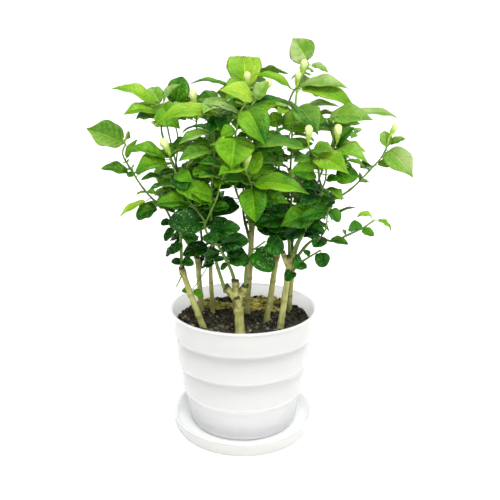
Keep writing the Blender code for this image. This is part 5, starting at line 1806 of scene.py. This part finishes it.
def paintPlastic(name, form):
    # soft white plastic with painted light: lighter inside and low down, where light from the saucer reaches it
    paint = Paint(name)
    inside, height, _ = paint.parts("kind")
    cloud = paint.noise(9.0)
    scuffs = paint.noise(70.0, 4.0, 0.65, (1, 1, 0.3))
    colour = paint.ramp(cloud, ((0.3, tuple(c * 0.985 for c in form["tint"])), (0.7, form["tint"])))
    # painted light on the low band and on the inside wall
    colour = paint.mix(paint.step(height, 0.36, 0.31), colour, form["paintedFootLight"])
    colour = paint.mix(inside, colour, form["paintedInsideLight"])
    rough = paint.step(scuffs, 0.45, 0.8) * 0.12 + 0.16
    paint.set(colour=colour, rough=rough, gloss=0.5, soft=0.85, softReach=form["softReach"])
    paint.shader.inputs["Subsurface Radius"].default_value = (1, 1, 1)
    paint.bump(cloud + paint.noise(1500.0, 2.0) * 0.02, 0.12, 0.0015)
    return paint.material


def settle(piece, node):
    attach(piece, "root")
    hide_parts(node)


def makePlant():
    routes = {name: stemRoutes(shoot, stemForm["spacing"]) for name, shoot in shoots.items()}
    fineRoutes = {name: stemRoutes(shoot, stemForm["fineSpacing"]) for name, shoot in shoots.items()}
    leaves = placedLeaves(routes)
    leafMaterial, stemMaterial, budMaterial = paintLeaf(), paintStem(), paintBud()
    budCount = 0
    for index, (name, shoot) in enumerate(shoots.items()):
        rng = random.Random(fineLeaf["seed"] + index)
        heap = Heap()
        for i, route in enumerate(fineRoutes[name]):
            nodes = max(2, round(routeLength(route) / stemForm["nodeSpacing"]))
            addStem(heap, route, stemRadii(routes[name][i], i), 1.0 if i == 0 else 0.6, rng, nodes)
        for leaf, tone, cast in leaves[name]:
            stem = min(fineRoutes[name], key=lambda route: (nearestOn(route, leaf[0]) - leaf[0]).length)
            addLeaf(heap, leaf, tone, cast, stem, rng)
        addSprigs(heap, name, rng)
        places = budPlaces(shoot, routes[name])
        for start, foot, axis, _ in places:
            stalk = [start, foot - axis * calyxForm["stalkReach"], foot + axis * stemForm["stalkInside"]]
            addStem(heap, stalk, calyxForm["stalkRadii"], 0.3, rng)
            addCalyx(heap, foot, axis, rng)
        settle(heap.piece(name + "_fine", [leafMaterial, stemMaterial]), name)
        for _, foot, axis, length in places:
            budCount += 1
            heap = Heap()
            addBud(heap, foot, axis, length, rng)
            settle(heap.piece(f"bud_{budCount}_fine", [budMaterial]), f"bud_{budCount}")
    print("shoots and", budCount, "buds made")


def makeCanes():
    bark = paintBark()
    for index, name in enumerate(canes):
        rng = random.Random(caneLook["seed"] + index)
        heap = Heap()
        for i, (points, radii) in enumerate(caneTubes(name)):
            addCaneTube(heap, points, radii, rng, i == 0)
        settle(heap.piece(name + "_fine", [bark]), name)
    print("canes made")


def makePot():
    for name, form, profile in (("pot", potForm, potProfile()), ("saucer", saucerForm, saucerProfile())):
        heap = Heap()
        lathe(heap, profile, form["steps"])
        settle(heap.piece(name + "_fine", [paintPlastic(name + "White", form)]), name)
    heap = Heap()
    rng = random.Random(soilForm["seed"])
    addPeat(heap)
    addClods(heap, rng)
    addMoss(heap, rng)
    settle(heap.piece("soil_fine", [paintSoil()]), "soil")
    print("pot, saucer and soil made")


studio = {
    # the sky's strength at the horizon, overhead and in front, and where it changes
    "horizon": 1.19,
    "overhead": 0.50,
    "front": 0.86,
    "upward": (0.12, 0.42),
    "backward": (-0.85, 0.15),
    "floor": 0.98,
    "floorReach": 4,
    "lens": 47.45,
    "cameraAt": (0, -0.640, 0.376),
    "pitch": 0.279,
    "shift": (0.0135, -0.0004),
    # name: where it shines from, strength and how wide it looks in degrees
    "lamps": {
        "keyLamp": ((0.10, -0.80, 1.20), 1.9, 20),
        "topLamp": ((0.20, -0.05, 1.0), 1.9, 100),
        "fillLamp": ((0.15, -1.0, 0.25), 0.9, 50),
    },
}


def makeFloor():
    far = studio["floorReach"]
    floorMesh = bpy.data.meshes.new("studioFloor")
    floorMesh.from_pydata([(-far, -far, 0), (far, -far, 0), (far, far, 0), (-far, far, 0)], [], [(0, 1, 2, 3)])
    floor = linked("studioFloor", floorMesh)
    paint = Paint("paleFloor")
    tone = studio["floor"]
    colour = paint.ramp(paint.noise(3.0, 2.0), ((0.3, (tone, tone, tone)), (0.7, (tone, tone, tone * 0.998))))
    paint.set(colour=colour, rough=0.9, gloss=0.0)
    floorMesh.materials.append(paint.material)


def makeSky():
    sky = Paint("studioWhite", bpy.data.worlds, "Background")
    _, backward, upward = sky.split(sky.node("ShaderNodeTexCoord", {}, "Generated"))
    strength = sky.step(upward, *studio["upward"], studio["horizon"], studio["overhead"])
    strength = strength * sky.step(backward, *studio["backward"], studio["front"], 1)
    sky.put(sky.shader.inputs["Color"], (1, 1, 1))
    sky.put(sky.shader.inputs["Strength"], strength)
    bpy.context.scene.world = sky.material


def makeStudio():
    makeFloor()
    makeSky()
    for name, (place, energy, wide) in studio["lamps"].items():
        lamp = bpy.data.lights.new(name, "SUN")
        lamp.energy, lamp.angle = energy, math.radians(wide)
        holder = linked(name, lamp)
        holder.location = place
        holder.rotation_euler = (-Vector(place)).to_track_quat("-Z", "Y").to_euler()
    camera = bpy.data.cameras.new("photoCamera")
    camera.lens, camera.sensor_width = studio["lens"], 36
    camera.shift_x, camera.shift_y = studio["shift"]
    camera.clip_start = 0.01
    holder = linked("photoCamera", camera)
    holder.location = studio["cameraAt"]
    holder.rotation_euler = (math.pi / 2 - studio["pitch"], 0, 0)
    bpy.context.scene.camera = holder
    bpy.context.scene.view_settings.view_transform = "Standard"
    print("studio made")


makePot()
makeCanes()
makePlant()
makeStudio()
